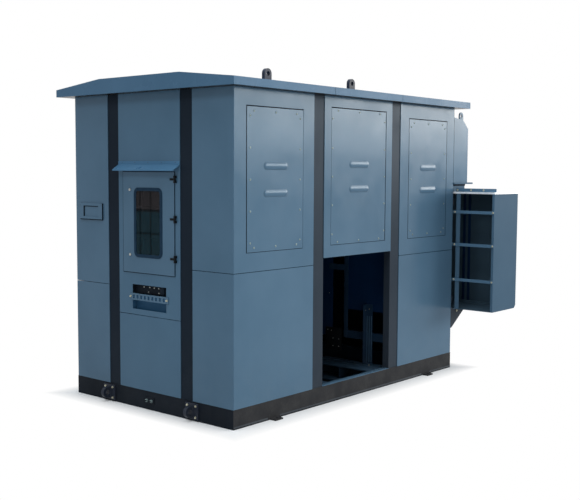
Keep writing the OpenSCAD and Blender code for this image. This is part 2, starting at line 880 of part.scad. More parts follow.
module window_glass() {
    glass_w = window_w - 2 * gasket_w + 2 * glass_edge;
    glass_h = window_h - 2 * gasket_w + 2 * glass_edge;
    mid = door_sheet / 2 - door_out;
    color(glass_grey) on_left() translate([0, 0, door_mid_z]) upright(mid - glass_t / 2, glass_t)
        rounded(glass_w, glass_h, window_r - gasket_w + glass_edge);
}

// Quarter-turn locks: a head, a shank through the leaf and a tongue turned upright
module door_locks() {
    shank_l = door_d - lock_tongue_t;
    color(zinc) on_left() for (side = sides)
        translate([-lock_x, -door_out, door_mid_z + side * lock_z]) {
            upright(-lock_h, lock_h) circle(lock_r);
            upright(0, shank_l) circle(lock_shank_r);
            block([-lock_shank_r, shank_l, -lock_tongue / 2], [lock_shank_r, door_d, lock_tongue / 2]);
        }
}

module at_hinges() {
    for (i = [0:hinge_count - 1])
        translate([hinge_x, -hinge_out, door_z + hinge_z + i * hinge_pitch]) children();
}

// Moving halves: a middle knuckle and a strap on the door's face
module hinge_straps() {
    color(rubber_black) on_left() at_hinges() difference() {
        union() {
            translate([0, 0, -strap_h / 2]) cylinder(h = strap_h, r = hinge_r);
            block([-strap_l, hinge_r - strap_t, -strap_h / 2], [0, hinge_r, strap_h / 2]);
        }
        translate([0, 0, -hinge_h / 2]) cylinder(h = hinge_h, r = pin_r + pin_fit);
    }
}

// Fixed halves: two knuckles with their feet on the wall, and the pin through them
module hinge_brackets() {
    knuckle = (hinge_h - strap_h) / 2 - pin_fit;
    color(rubber_black) on_left() at_hinges() {
        translate([0, 0, -hinge_h / 2]) cylinder(h = hinge_h, r = pin_r);
        for (low = [-hinge_h / 2, hinge_h / 2 - knuckle])
            translate([0, 0, low]) {
                cylinder(h = knuckle, r = hinge_r);
                block([0, 0, 0], [hinge_r, hinge_out, knuckle]);
            }
    }
}

// The door's stop: a flat frame behind the opening, with guard bars across it
module window_guard() {
    w = opening_w + 2 * guard_rim;
    h = opening_h + 2 * guard_rim;
    clear_w = door_w - 2 * door_lap;
    clear_h = door_h - 2 * door_lap;
    color(frame_grey) on_left() translate([0, 0, door_mid_z]) {
        upright(stop_y, guard_t) difference() {
            square([w, h], center = true);
            square([clear_w, clear_h], center = true);
        }
        for (i = [1:guard_uprights])
            translate([(i / (guard_uprights + 1) - 1 / 2) * clear_w, 0, 0])
                block([-guard_bar / 2, stop_y, -h / 2], [guard_bar / 2, stop_y + guard_t, h / 2]);
        for (i = [1:guard_levels])
            translate([0, 0, (i / (guard_levels + 1) - 1 / 2) * clear_h])
                block([-w / 2, stop_y, -guard_bar / 2], [w / 2, stop_y + guard_t, guard_bar / 2]);
    }
}

// The slotted bar across the cable slot
module cable_clamp_bar() {
    pitch = slot_w / clamp_slots;
    color(panel_blue) on_left() difference() {
        block([-clamp_l / 2, -clamp_t, clamp_z], [clamp_l / 2, 0, clamp_z + clamp_h]);
        for (i = [1:clamp_slots])
            translate([(i - 1 / 2) * pitch - slot_w / 2, 0, clamp_z + clamp_h / 2])
                block([-tie_w / 2, -clamp_t - cut, -tie_h / 2], [tie_w / 2, cut, tie_h / 2]);
    }
}

// A plate behind the slot, held by a leg at each end
module slot_backing(depth, t, low, high) {
    reach = slot_w / 2 + terminal_leg;
    block([-reach, depth, low], [reach, depth + t, high]);
    for (side = sides)
        translate([side * (reach - terminal_leg / 2), 0, 0])
            block([-terminal_leg / 2, sheet, low], [terminal_leg / 2, depth, high]);
}

module terminal_strip() {
    color(frame_grey) on_left()
        slot_backing(terminal_in, terminal_t, terminal_z, terminal_z + terminal_h);
}

module slot_plate() {
    color(panel_blue) on_left() slot_backing(slot_plate_in, sheet, slot_z - slot_plate_lap, clamp_z);
}

// A raised frame on the wall with a bare field
module document_frame() {
    x = end_half + post_w + end_corner_w / 2;
    color(panel_blue) on_left() translate([-x, 0, doc_z]) difference() {
        block([-doc_w / 2, -doc_out, 0], [doc_w / 2, 0, doc_h]);
        block([doc_side - doc_w / 2, -doc_out - cut, doc_border],
            [doc_w / 2 - doc_side, -doc_out / 2, doc_h - doc_border]);
    }
}

// Section of the duct in X and Z, measured from the end wall and open below and behind
module duct_section(inset, over) {
    out = duct_out - inset;
    top = duct_top - inset;
    polygon([[-over, duct_z - over], [out, duct_z - over], [out, top - duct_fall - duct_slope_h],
        [out - duct_slope_w, top - duct_fall], [-over, top]]);
}

module cable_duct() {
    color(panel_blue) translate([x_end, -y_side, 0]) difference() {
        upright(0, duct_w) duct_section(0, 0);
        upright(sheet, duct_w - 2 * sheet) duct_section(sheet, cut);
    }
}

// Height of the duct's top above its edge, at a distance from the end wall
function duct_rise(x) = duct_fall * (1 - x / duct_edge);

// The small lifting eye on the duct's front edge, with its foot on the slope
module duct_lifting_eye() {
    r = duct_eye_w / 2;
    color(panel_blue) translate([x_end + duct_eye_x, 0, duct_top - duct_fall])
        upright(-y_side, duct_eye_t) difference() {
            union() {
                polygon([[-r, duct_rise(duct_eye_x - r)], [r, duct_rise(duct_eye_x + r)],
                    [r, duct_eye_up], [-r, duct_eye_up]]);
                intersection() {
                    translate([0, duct_eye_up]) circle(r);
                    translate([-r, duct_eye_up]) square(duct_eye_w);
                }
            }
            translate([0, duct_eye_up]) circle(d = duct_eye_d);
        }
}

// The flange under the duct and the neck that joins it to the box
module duct_flange() {
    color(panel_blue) translate([x_end, -y_side, 0]) {
        block([0, -duct_flange_front, neck_z], [duct_flange_out, duct_w, duct_z]);
        difference() {
            block([0, neck_in, lid_top], [neck_out, duct_w, neck_z]);
            block([sheet, neck_in + sheet, lid_top - cut],
                [neck_out - sheet, duct_w - sheet, neck_z + cut]);
        }
    }
}

// Section of the cable box in X and Z
module box_section(inset) {
    low = box_z + inset;
    out = box_out - inset;
    polygon([[box_x + inset, low], [out - box_cut, low], [out, low + box_cut],
        [out, box_top - inset], [box_x + inset, box_top - inset]]);
}

// An opening through the box's side, between two places along the end wall
module box_opening(near, far) {
    block([box_x - cut, near, box_z + sheet], [box_x + sheet + cut, far, box_top - sheet]);
}

// The cable box: a sheet shell, open on both sides of a post where it passes the front wall
module cable_box() {
    color(panel_blue) difference() {
        upright(box_y, box_far - box_y) box_section(0);
        upright(box_y + sheet, box_far - box_y - 2 * sheet) box_section(sheet);
        box_opening(box_y + box_rim, box_post_y);
        box_opening(box_post_y + box_post_w, box_slot_y);
    }
}

// The folded lid
module cable_box_lid() {
    color(zinc) difference() {
        block([box_x - sheet, box_y - sheet, lid_top - lid_rim], [box_out + sheet, box_far, lid_top]);
        block([box_x, box_y, lid_top - lid_rim - cut], [box_out, box_far + cut, box_top]);
    }
}

// The bolted strip on edge along the lid
module lid_strip() {
    color(panel_blue)
        block([box_x + strip_in, box_y + strip_end, lid_top],
            [box_x + strip_in + strip_t, -y_side - strip_end, lid_top + strip_h]);
}

module clamp_rails() {
    color(panel_blue) for (share = rail_shares)
        translate([0, 0, box_z + rail_low + share * rail_span])
            block([box_x - rail_t, box_y, 0], [box_x, box_slot_y + rail_lap, rail_h]);
}

// Two brackets under the box and two spacer bars behind it
module cable_box_brackets() {
    color(frame_grey) {
        for (y = [-y_side, box_far - bracket_t])
            upright(y, bracket_t) translate([x_end, box_z])
                polygon([[0, 0], [bracket_out, 0], [bracket_edge, -bracket_h], [0, -bracket_h]]);
        for (z = [box_z + spacer_in, box_top - spacer_in - spacer_h])
            block([x_end, -y_side, z], [box_x, box_far, z + spacer_h]);
    }
}

// A plate between the posts, hung clear of the base, with a slot up from its lower edge
module inner_partition() {
    before = partition_x - cut;
    behind = partition_x + sheet + cut;
    low = partition_back_z - cut;
    color(panel_blue) difference() {
        block([partition_x, -inner_half, partition_back_z], [partition_x + sheet, inner_half, wall_top]);
        block([before, -inner_half - cut, low], [behind, -void_y, partition_z]);
        block([before, -void_y - cut, low], [behind, void_w - void_y, void_top]);
    }
}

// A strut, a bar beside the partition's slot, a header across it and a rail to the posts
module inner_frame() {
    y = strut_in - y_side;
    low = base_h - base_flange_t;
    face = partition_x - cross_t;
    color(frame_grey) {
        block([face, y, low], [partition_x, y + strut_w, partition_z + strut_lap]);
        block([partition_x - strut_w, y + strut_w - cross_t, low],
            [partition_x, y + strut_w, partition_z + strut_lap]);
        block([face, -void_y - edge_bar_w, inner_rail_z], [partition_x, -void_y, wall_top]);
        block([face, -void_y - edge_bar_w, header_z],
            [partition_x, void_w + edge_bar_w - void_y, header_z + header_h]);
        block([partition_x, -inner_half, inner_rail_z],
            [partition_x + inner_rail_d, -void_y, inner_rail_z + inner_rail_h]);
    }
}

base_side_rails();
base_end_rails();
base_cross_members();
anchor_tabs();
left_tow_eyes();
right_tow_eyes();
earth_terminal();
front_posts();
back_posts();
left_posts();
right_posts();
front_left_lower_panel();
front_right_lower_panel();
back_left_lower_panel();
back_right_lower_panel();
front_left_upper_panel();
front_right_upper_panel();
back_left_upper_panel();
back_right_upper_panel();
front_middle_panel();
back_middle_panel();
back_middle_lower_panel();
left_end_panel();
left_end_lower_panel();
right_end_panel();
right_end_lower_panel();
front_left_cover();
front_middle_cover();
front_right_cover();
back_left_cover();
back_middle_cover();
back_right_cover();
roof_left();
roof_middle();
roof_right();
front_lifting_lugs();
back_lifting_lugs();
rain_hood();
door_leaf();
window_rubber();
window_glass();
door_locks();
hinge_straps();
hinge_brackets();
window_guard();
cable_clamp_bar();
terminal_strip();
slot_plate();
document_frame();
cable_duct();
duct_lifting_eye();
duct_flange();
cable_box();
cable_box_lid();
lid_strip();
clamp_rails();
cable_box_brackets();
inner_partition();
inner_frame();
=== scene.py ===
import json
import math

import bmesh
import bpy
from mathutils import Matrix, Vector


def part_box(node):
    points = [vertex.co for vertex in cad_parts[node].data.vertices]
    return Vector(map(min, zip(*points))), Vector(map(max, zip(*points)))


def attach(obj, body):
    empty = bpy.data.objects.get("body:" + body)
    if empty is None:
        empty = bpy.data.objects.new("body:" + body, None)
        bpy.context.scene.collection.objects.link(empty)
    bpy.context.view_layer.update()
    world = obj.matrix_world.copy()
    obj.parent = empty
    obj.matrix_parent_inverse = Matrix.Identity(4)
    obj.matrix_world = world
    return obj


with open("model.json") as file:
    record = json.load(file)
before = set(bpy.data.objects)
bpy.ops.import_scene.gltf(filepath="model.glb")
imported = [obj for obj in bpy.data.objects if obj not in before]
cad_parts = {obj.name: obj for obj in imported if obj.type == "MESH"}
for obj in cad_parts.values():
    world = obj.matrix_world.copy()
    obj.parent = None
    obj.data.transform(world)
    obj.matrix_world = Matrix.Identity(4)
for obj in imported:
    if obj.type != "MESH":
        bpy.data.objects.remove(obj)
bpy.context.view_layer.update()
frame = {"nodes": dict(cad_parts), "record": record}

# Looks of a sheet-steel transformer substation housing. Lengths are in metres, in the frame of the solids.

HOUSING = "housing"
DOOR = "window_door"
MM = 0.001

# Main planes of the housing, as in the part's source
END_X = 1.43
SIDE_Y = 0.86
BASE_TOP = 0.14
BASE_MID = 0.07
WALL_TOP = 2.345
ROOF_EDGE = 2.4
ROOF_TOP = 2.457
ROOF_HALF = 0.96
ROOF_FLAT = 0.435
JOINT_X = 0.445
COVER_FACE = 0.859
DOOR_FACE = 1.435
DOOR_STOP = 1.415
PARTITION_X = 0.567
DOOR_MID_Z = 1.395

# A hair's breadth between a piece and the face that it sits on
CLEAR = 0.0002
# Thickness of the flat bars and plates bolted on the left end and inside the bay
FLAT_BAR = 0.006
# Welds beside the towing eyes and the lifting lugs
WELD_LENGTH = 0.08
WELD_RADIUS = 0.004
WELD_AWAY = 0.0155

FRONT = Vector((0, -1, 0))
BACK = Vector((0, 1, 0))
LEFT = Vector((-1, 0, 0))
RIGHT = Vector((1, 0, 0))
UP = Vector((0, 0, 1))
SIDES = (-1, 1)


# Shapes

EDGE_SEGMENTS = 2
SMOOTH_BELOW = 35


def lathe(profile, steps):
    """A closed shape turned round the Z axis from (radius, height) points."""
    bm = bmesh.new()
    verts = [bm.verts.new((radius, 0, height)) for radius, height in profile]
    edges = [bm.edges.new(pair) for pair in zip(verts, verts[1:])]
    bmesh.ops.spin(bm, geom=verts + edges, cent=(0, 0, 0), axis=(0, 0, 1), angle=math.tau,
                   steps=steps, use_merge=True)
    bmesh.ops.remove_doubles(bm, verts=bm.verts, dist=0.001 * MM)
    bmesh.ops.recalc_face_normals(bm, faces=bm.faces)
    return bm


def soften(bm, edges, radius):
    """Rounds the given edges."""
    bmesh.ops.bevel(bm, geom=list(edges), offset=radius, offset_type="OFFSET", affect="EDGES",
                    segments=EDGE_SEGMENTS, profile=0.5, material=-1)


def bar(low, high, edge):
    """A block between two corners with softened edges."""
    bm = bmesh.new()
    low, high = Vector(low), Vector(high)
    place = Matrix.Translation((low + high) / 2) @ Matrix.Diagonal((*(high - low), 1))
    bmesh.ops.create_cube(bm, size=1, matrix=place)
    soften(bm, bm.edges, edge)
    return bm


def ring(width, height, border, depth, edge):
    """A flat rectangular frame that stands up from the XY plane."""
    bm = bmesh.new()
    bmesh.ops.create_grid(bm, x_segments=1, y_segments=1, size=0.5,
                          matrix=Matrix.Diagonal((width, height, 1, 1)))
    middle = bm.faces[:]
    bmesh.ops.inset_region(bm, faces=middle, thickness=border, use_boundary=True, use_even_offset=True)
    bmesh.ops.delete(bm, geom=middle, context="FACES")
    raised = bmesh.ops.extrude_face_region(bm, geom=bm.faces[:])["geom"]
    lifted = [item for item in raised if isinstance(item, bmesh.types.BMVert)]
    bmesh.ops.translate(bm, verts=lifted, vec=(0, 0, depth))
    bmesh.ops.recalc_face_normals(bm, faces=bm.faces)
    soften(bm, [e for e in bm.edges if all(v.co.z > depth / 2 for v in e.verts)], edge)
    return bm


def as_mesh(name, bm):
    mesh = bpy.data.meshes.new(name)
    bm.to_mesh(mesh)
    bm.free()
    return mesh


def add(bm, mesh, place):
    """Sets a copy of a mesh into a bmesh."""
    first = len(bm.verts)
    bm.from_mesh(mesh)
    bm.verts.ensure_lookup_table()
    bmesh.ops.transform(bm, matrix=place, verts=bm.verts[first:])


def repeated(mesh, places):
    """One bmesh with a copy of a mesh at each place."""
    bm = bmesh.new()
    for place in places:
        add(bm, mesh, place)
    return bm


def facing(point, outward, turn=0):
    """A place whose Z axis points outwards, turned about that axis."""
    turned = outward.to_track_quat("Z", "Y").to_matrix().to_4x4()
    return Matrix.Translation(point) @ turned @ Matrix.Rotation(turn, 4, "Z")


def piece(name, bm, finish, body=HOUSING):
    """Makes a finished piece that rides on a body."""
    mesh = as_mesh(name, bm)
    mesh.materials.append(finish)
    mesh.shade_smooth()
    mesh.set_sharp_from_angle(angle=math.radians(SMOOTH_BELOW))
    made = bpy.data.objects.new(name, mesh)
    bpy.context.scene.collection.objects.link(made)
    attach(made, body)


# Fasteners, each standing on the XY plane

def scaled(profile):
    """A profile in metres from one in millimetres."""
    return [(radius * MM, height * MM) for radius, height in profile]


def button_screw():
    """A washer and a domed head with a round socket."""
    profile = [(0, 0), (7.8, 0), (8, 0.4), (8, 1), (7.6, 1.4), (6.1, 1.4), (5.9, 2.5), (5.1, 3.6), (4.1, 4.2),
               (3.2, 4.4), (2.8, 4.3), (2.6, 2.5), (0, 2.3)]
    return as_mesh("button_screw", lathe(scaled(profile), 14))


def hexagon(bm, radius, bottom, top):
    """Adds a hexagonal block and returns its vertices."""
    place = Matrix.Translation((0, 0, (bottom + top) / 2))
    made = bmesh.ops.create_cone(bm, cap_ends=True, segments=6, radius1=radius, radius2=radius,
                                 depth=top - bottom, matrix=place)
    return made["verts"]


def hex_bolt(across, head, washer, name):
    """A washer and a chamfered hexagon head."""
    rim, thick, chamfer = 0.4, 2, 1.2
    washer_top = thick + rim
    profile = [(0, 0), (washer - rim, 0), (washer, rim), (washer, thick), (washer - rim, washer_top),
               (0, washer_top)]
    bm = lathe(scaled(profile), 16)
    bottom, top = washer_top * MM, (washer_top + head) * MM
    verts = hexagon(bm, across * MM / math.sqrt(3), bottom, top)
    upper = {e for v in verts for e in v.link_edges if all(w.co.z > top - 0.1 * MM for w in e.verts)}
    soften(bm, upper, chamfer * MM)
    return as_mesh(name, bm)


def stud_nut():
    """A washer and a nut, chamfered at both ends."""
    bottom, top, radius, chamfer = 2.5, 12.5, 11, 1.1
    bm = lathe(scaled([(0, 0), (12, 0), (12.4, 0.5), (12.4, 2), (12, bottom), (0, bottom)]), 16)
    verts = hexagon(bm, radius * MM, bottom * MM, top * MM)
    rims = {e for v in verts for e in v.link_edges if len({round(w.co.z, 5) for w in e.verts}) == 1}
    soften(bm, rims, chamfer * MM)
    return as_mesh("stud_nut", bm)


def rivet():
    """A low domed head with a pin hole in it."""
    profile = [(0, 0), (5, 0), (4.8, 1.2), (3.8, 2.2), (2.2, 2.8), (1.2, 2.6), (0, 2.2)]
    return as_mesh("rivet", lathe(scaled(profile), 12))


def weld_bead(length, radius):
    """A rippled bead along Z."""
    fewest, pitch, waist = 6, 1.6 * radius, 0.82
    ripples = max(fewest, round(length / pitch))
    profile = [(0, 0)]
    for i in range(2 * ripples + 1):
        swell = 1 if i % 2 else waist
        profile.append((radius * swell, length * i / (2 * ripples)))
    profile.append((0, length))
    return as_mesh("weld_bead", lathe(profile, 10))


# Finishes

WHITE = (1, 1, 1)

# Powder paint: sizes of its marks in features per metre, and how much they show
CLOUDS = 1.7
STREAKS = (38, 38, 0.9)
STREAK_SHARE = 0.16
SMEARS = 5.5
FINE_PEEL = 420
WIDE_PEEL = 3.2
DUST = (0.26, 0.25, 0.23)
DUST_LOW = 0.1
DUST_HIGH = 0.75
DUST_PATCHES = 9
DUST_SPECKS = 60
# Painted shade on the slopes of the pressed beads, which dims their highlights: its colour and how much it
# shows
BEAD_SLOPE_SHADE = (0.02, 0.042, 0.068)
BEAD_SLOPE_SHADE_SHARE = 0.6

# Clean lines on the window pane: axis, middle and half width
PANE_LINES = (("Z", 1.486, 0.008), ("Z", 1.318, 0.006), ("Y", 0.088, 0.006), ("Y", -0.03, 0.006))
# Heights where the painted brown reflection on the pane starts and where it is full
REFLECTION_FROM = 1.47
REFLECTION_FULL = 1.5


def new_finish(name):
    finish = bpy.data.materials.new(name)
    finish.use_nodes = True
    finish.node_tree.nodes.clear()
    return finish


def node(finish, kind, values=None, **settings):
    made = finish.node_tree.nodes.new(kind)
    for name, value in settings.items():
        setattr(made, name, value)
    for name, value in (values or {}).items():
        made.inputs[name].default_value = value
    return made


def wire(finish, source, target):
    finish.node_tree.links.new(source, target)


def noise(finish, scale, detail=3, stretch=(1, 1, 1)):
    """Noise on the piece's own coordinates, in features per metre."""
    where = node(finish, "ShaderNodeTexCoord")
    mapping = node(finish, "ShaderNodeMapping", {"Scale": stretch})
    made = node(finish, "ShaderNodeTexNoise", {"Scale": scale, "Detail": detail})
    wire(finish, where.outputs["Object"], mapping.inputs["Vector"])
    wire(finish, mapping.outputs["Vector"], made.inputs["Vector"])
    return made.outputs["Fac"]


def spread(finish, factor, low, high, start=0.3, end=0.7):
    """Carries a value between start and end over to low and high."""
    made = node(finish, "ShaderNodeMapRange",
                {"From Min": start, "From Max": end, "To Min": low, "To Max": high})
    wire(finish, factor, made.inputs["Value"])
    return made.outputs["Result"]


def tones(finish, factor, stops):
    """A colour for each value, from (value, colour) stops."""
    made = node(finish, "ShaderNodeValToRGB")
    elements = made.color_ramp.elements
    while len(elements) < len(stops):
        elements.new(0.5)
    for element, (place, colour) in zip(elements, stops):
        element.position = place
        element.color = (*colour, 1)
    wire(finish, factor, made.inputs["Fac"])
    return made.outputs["Color"]


def blend(finish, factor, first, second):
    """Mixes a colour socket with a plain colour."""
    made = node(finish, "ShaderNodeMix", data_type="RGBA")
    sockets = [s for s in made.inputs if s.type == "RGBA"]
    sockets[1].default_value = (*second, 1)
    wire(finish, first, sockets[0])
    wire(finish, factor, made.inputs["Factor"])
    return [s for s in made.outputs if s.type == "RGBA"][0]


def combined(finish, operation, first, second):
    """The sum, product or greater of two values."""
    made = node(finish, "ShaderNodeMath", operation=operation)
    wire(finish, first, made.inputs[0])
    wire(finish, second, made.inputs[1])
    return made.outputs[0]


def without_sign(finish, value):
    made = node(finish, "ShaderNodeMath", operation="ABSOLUTE")
    wire(finish, value, made.inputs[0])
    return made.outputs[0]


def less(finish, value, amount):
    made = node(finish, "ShaderNodeMath", operation="SUBTRACT")
    made.inputs[1].default_value = amount
    wire(finish, value, made.inputs[0])
    return made.outputs[0]


def along_axes(finish, kind):
    """X, Y and Z of the piece's own coordinates, kind Object, or of the way its faces look, kind Normal."""
    where = node(finish, "ShaderNodeTexCoord")
    split = node(finish, "ShaderNodeSeparateXYZ")
    wire(finish, where.outputs[kind], split.inputs["Vector"])
    return split.outputs


def bump(finish, height, strength, distance, normal=None):
    made = node(finish, "ShaderNodeBump", {"Strength": strength, "Distance": distance})
    wire(finish, height, made.inputs["Height"])
    if normal:
        wire(finish, normal, made.inputs["Normal"])
    return made.outputs["Normal"]


def shader(finish, colour, roughness, normal, constants):
    """Ends a finish with its surface shader."""
    made = node(finish, "ShaderNodeBsdfPrincipled", constants)
    output = node(finish, "ShaderNodeOutputMaterial")
    wire(finish, colour, made.inputs["Base Color"])
    wire(finish, roughness, made.inputs["Roughness"])
    wire(finish, normal, made.inputs["Normal"])
    wire(finish, made.outputs["BSDF"], output.inputs["Surface"])
    return finish


def height_above_floor(finish):
    return along_axes(finish, "Object")["Z"]


def inner_side(finish, middle, reach, axes):
    """One on the faces that look inwards along the given axes, further than reach from the middle."""
    fade = 0.02
    where = node(finish, "ShaderNodeTexCoord")
    away = node(finish, "ShaderNodeVectorMath", operation="SUBTRACT")
    away.inputs[1].default_value = middle
    flat = node(finish, "ShaderNodeVectorMath", operation="MULTIPLY")
    flat.inputs[1].default_value = axes
    inward = node(finish, "ShaderNodeVectorMath", operation="DOT_PRODUCT")
    wire(finish, where.outputs["Object"], away.inputs[0])
    wire(finish, away.outputs["Vector"], flat.inputs[0])
    wire(finish, flat.outputs["Vector"], inward.inputs[0])
    wire(finish, where.outputs["Normal"], inward.inputs[1])
    return spread(finish, inward.outputs["Value"], 1, 0, -reach - fade, -reach)


def under_side(finish):
    """One on the faces that look down."""
    return spread(finish, along_axes(finish, "Normal")["Z"], 1, 0, -0.98, -0.8)


def edge_side(finish):
    """One on the side and lower edges of a frame that stands on an end wall."""
    way = along_axes(finish, "Normal")
    total = combined(finish, "ADD", without_sign(finish, way["X"]), way["Z"])
    return spread(finish, total, 1, 0, 0.3, 0.6)


def bead_slope(finish):
    """One on the slopes of the pressed beads in a side cover."""
    square_on = without_sign(finish, along_axes(finish, "Normal")["Y"])
    return spread(finish, square_on, 1, 0, 0.9, 0.99)


def dust_share(finish, most):
    """How much dust lies on the paint: thicker near the floor, in patches and specks."""
    low = spread(finish, height_above_floor(finish), 1, 0, DUST_LOW, DUST_HIGH)
    patches = spread(finish, noise(finish, DUST_PATCHES, 5), 0.1, 0.9, 0.35, 0.7)
    specks = spread(finish, noise(finish, DUST_SPECKS, 2), most / 2, most)
    return combined(finish, "MULTIPLY", combined(finish, "MULTIPLY", low, patches), specks)


def powder_paint(name, shades, gloss, sheen, dust, inner_shade=None, underside_shade=None, edge_shade=None,
                 tint=WHITE, beads=0):
    """Powder paint: cloudy tone, faint rain streaks, orange peel, dust near the floor, and painted shade
    where asked.
    """
    finish = new_finish(name)
    deep, plain, pale = shades
    colour = tones(finish, noise(finish, CLOUDS, 4), [(0.3, deep), (0.5, plain), (0.72, pale)])
    streaks = spread(finish, noise(finish, 1, 3, STREAKS), 0, STREAK_SHARE, 0.52, 0.8)
    colour = blend(finish, streaks, colour, pale)
    colour = blend(finish, dust_share(finish, dust), colour, DUST)
    # Painted shade on the faces that look inwards, where the inside lies in shade
    if inner_shade:
        inner_shade_colour, middle, reach, axes = inner_shade
        colour = blend(finish, inner_side(finish, middle, reach, axes), colour, inner_shade_colour)
    # Painted shade on the faces that look down
    if underside_shade:
        colour = blend(finish, under_side(finish), colour, underside_shade)
    # Painted shade on the side and lower edges of a frame, standing in for its shadow lines
    if edge_shade:
        colour = blend(finish, edge_side(finish), colour, edge_shade)
    smears = spread(finish, noise(finish, SMEARS, 5), gloss - 0.05, gloss + 0.07)
    if beads:
        slope = bead_slope(finish)
        # Painted shade on the bead slopes
        colour = blend(finish, spread(finish, slope, 0, BEAD_SLOPE_SHADE_SHARE, 0, 1), colour, BEAD_SLOPE_SHADE)
        smears = combined(finish, "ADD", smears, spread(finish, slope, 0, beads, 0, 1))
    peel = bump(finish, noise(finish, FINE_PEEL, 2), 0.12, 0.3 * MM)
    peel = bump(finish, noise(finish, WIDE_PEEL, 2), 0.1, 2.2 * MM, peel)
    return shader(finish, colour, smears, peel, {"Specular IOR Level": sheen, "Specular Tint": (*tint, 1)})


def plated_steel(name, deep, plain, pale, gloss):
    """Plated steel with stains and a fine grain."""
    finish = new_finish(name)
    stains, wear, grains = 90, 240, 900
    colour = tones(finish, noise(finish, stains, 4), [(0.3, deep), (0.5, plain), (0.7, pale)])
    rough = spread(finish, noise(finish, wear, 3), gloss - 0.08, gloss + 0.12)
    grain = bump(finish, noise(finish, grains, 2), 0.15, 0.1 * MM)
    return shader(finish, colour, rough, grain, {"Metallic": 0.85})


def galvanised_sheet():
    """Zinc-dipped sheet with its crystal pattern."""
    finish = new_finish("galvanised_sheet")
    crystal_scale, relief_scale = 55, 150
    where = node(finish, "ShaderNodeTexCoord")
    crystals = node(finish, "ShaderNodeTexVoronoi", {"Scale": crystal_scale})
    wire(finish, where.outputs["Object"], crystals.inputs["Vector"])
    split = node(finish, "ShaderNodeSeparateColor")
    wire(finish, crystals.outputs["Color"], split.inputs["Color"])
    shade = split.outputs["Red"]
    colour = tones(finish, shade, [(0.1, (0.8, 0.82, 0.84)), (0.5, (0.88, 0.9, 0.92)),
                                   (0.9, (0.94, 0.95, 0.96))])
    rough = spread(finish, shade, 0.28, 0.46, 0, 1)
    relief = bump(finish, noise(finish, relief_scale, 3), 0.08, 0.2 * MM)
    return shader(finish, colour, rough, relief, {"Metallic": 0.3})


def moulded_rubber(name, deep, pale):
    """Dull rubber with a cloudy tone and a fine grain."""
    finish = new_finish(name)
    clouds, wear, grains = 30, 70, 700
    colour = tones(finish, noise(finish, clouds, 4), [(0.3, deep), (0.7, pale)])
    rough = spread(finish, noise(finish, wear, 3), 0.6, 0.85)
    grain = bump(finish, noise(finish, grains, 2), 0.2, 0.15 * MM)
    return shader(finish, colour, rough, grain, {"Specular IOR Level": 0.05})


def mix_shaders(finish, share, first, second):
    """Mixes two shaders by a plain share or by a share that nodes work out."""
    made = node(finish, "ShaderNodeMixShader")
    if isinstance(share, float):
        made.inputs["Fac"].default_value = share
    else:
        wire(finish, share, made.inputs["Fac"])
    wire(finish, first, made.inputs[1])
    wire(finish, second, made.inputs[2])
    return made.outputs["Shader"]


def outside_line(finish, axis, middle, half):
    """One away from a straight line across the pane, and less along it."""
    thinnest, fade = 0.35, 0.004
    away = without_sign(finish, less(finish, along_axes(finish, "Object")[axis], middle))
    return spread(finish, away, thinnest, 1, half, half + fade)


def window_pane():
    """Tinted thin glass with a film of dust, thin where bars touched it, and a painted brown reflection on
    its upper third.
    """
    clouds, dust, mirror_share = 4, 26, 0.003
    finish = new_finish("window_pane")
    tint = tones(finish, noise(finish, clouds, 3), [(0.3, (0.38, 0.47, 0.5)), (0.7, (0.46, 0.54, 0.57))])
    clear = node(finish, "ShaderNodeBsdfTransparent")
    wire(finish, tint, clear.inputs["Color"])
    # Painted reflection: the film turns brown on the upper third
    upper = spread(finish, height_above_floor(finish), 0, 1, REFLECTION_FROM, REFLECTION_FULL)
    film_and_reflection_colour = tones(finish, upper, [(0, (0.032, 0.078, 0.1)), (1, (0.085, 0.072, 0.075))])
    film = node(finish, "ShaderNodeBsdfDiffuse")
    wire(finish, film_and_reflection_colour, film.inputs["Color"])
    share = spread(finish, noise(finish, dust, 4), 0.24, 0.36)
    for axis, middle, half in PANE_LINES:
        share = combined(finish, "MULTIPLY", share, outside_line(finish, axis, middle, half))
    dusty = mix_shaders(finish, share, clear.outputs["BSDF"], film.outputs["BSDF"])
    mirror = node(finish, "ShaderNodeBsdfGlossy", {"Color": (*WHITE, 1), "Roughness": 0.03})
    output = node(finish, "ShaderNodeOutputMaterial")
    wire(finish, mix_shaders(finish, mirror_share, dusty, mirror.outputs["BSDF"]), output.inputs["Surface"])
    return finish


# Deep, plain and pale shade of each paint. Most are copies of one blue-grey and one anthracite paint,
# with painted light: lighter where a place is lit, darker where it is shaded, and bluer on the roof for its
# light.
PANEL_SHADES = (0.069, 0.138, 0.21), (0.078, 0.151, 0.228), (0.087, 0.164, 0.244)
END_SHADED_TONES = (0.062, 0.132, 0.206), (0.07, 0.145, 0.224), (0.078, 0.158, 0.24)
ROOF_TINTED_TONES = (0.062, 0.133, 0.214), (0.07, 0.145, 0.232), (0.078, 0.158, 0.248)
BOX_SHADED_TONES = (0.055, 0.109, 0.166), (0.062, 0.119, 0.18), (0.069, 0.13, 0.193)
BEAM_SHADED_TONES = (0.022, 0.05, 0.084), (0.027, 0.06, 0.1), (0.033, 0.071, 0.116)
HOOD_LIT_TONES = (0.066, 0.168, 0.285), (0.075, 0.185, 0.312), (0.084, 0.2, 0.33)
INNER_SHADED_TONES = (0.0035, 0.021, 0.066), (0.0045, 0.026, 0.08), (0.006, 0.032, 0.092)
STRUT_SHADED_TONES = (0.012, 0.033, 0.066), (0.015, 0.04, 0.08), (0.019, 0.048, 0.094)
SLOT_SHADED_TONES = (0.026, 0.086, 0.168), (0.031, 0.097, 0.185), (0.037, 0.109, 0.2)
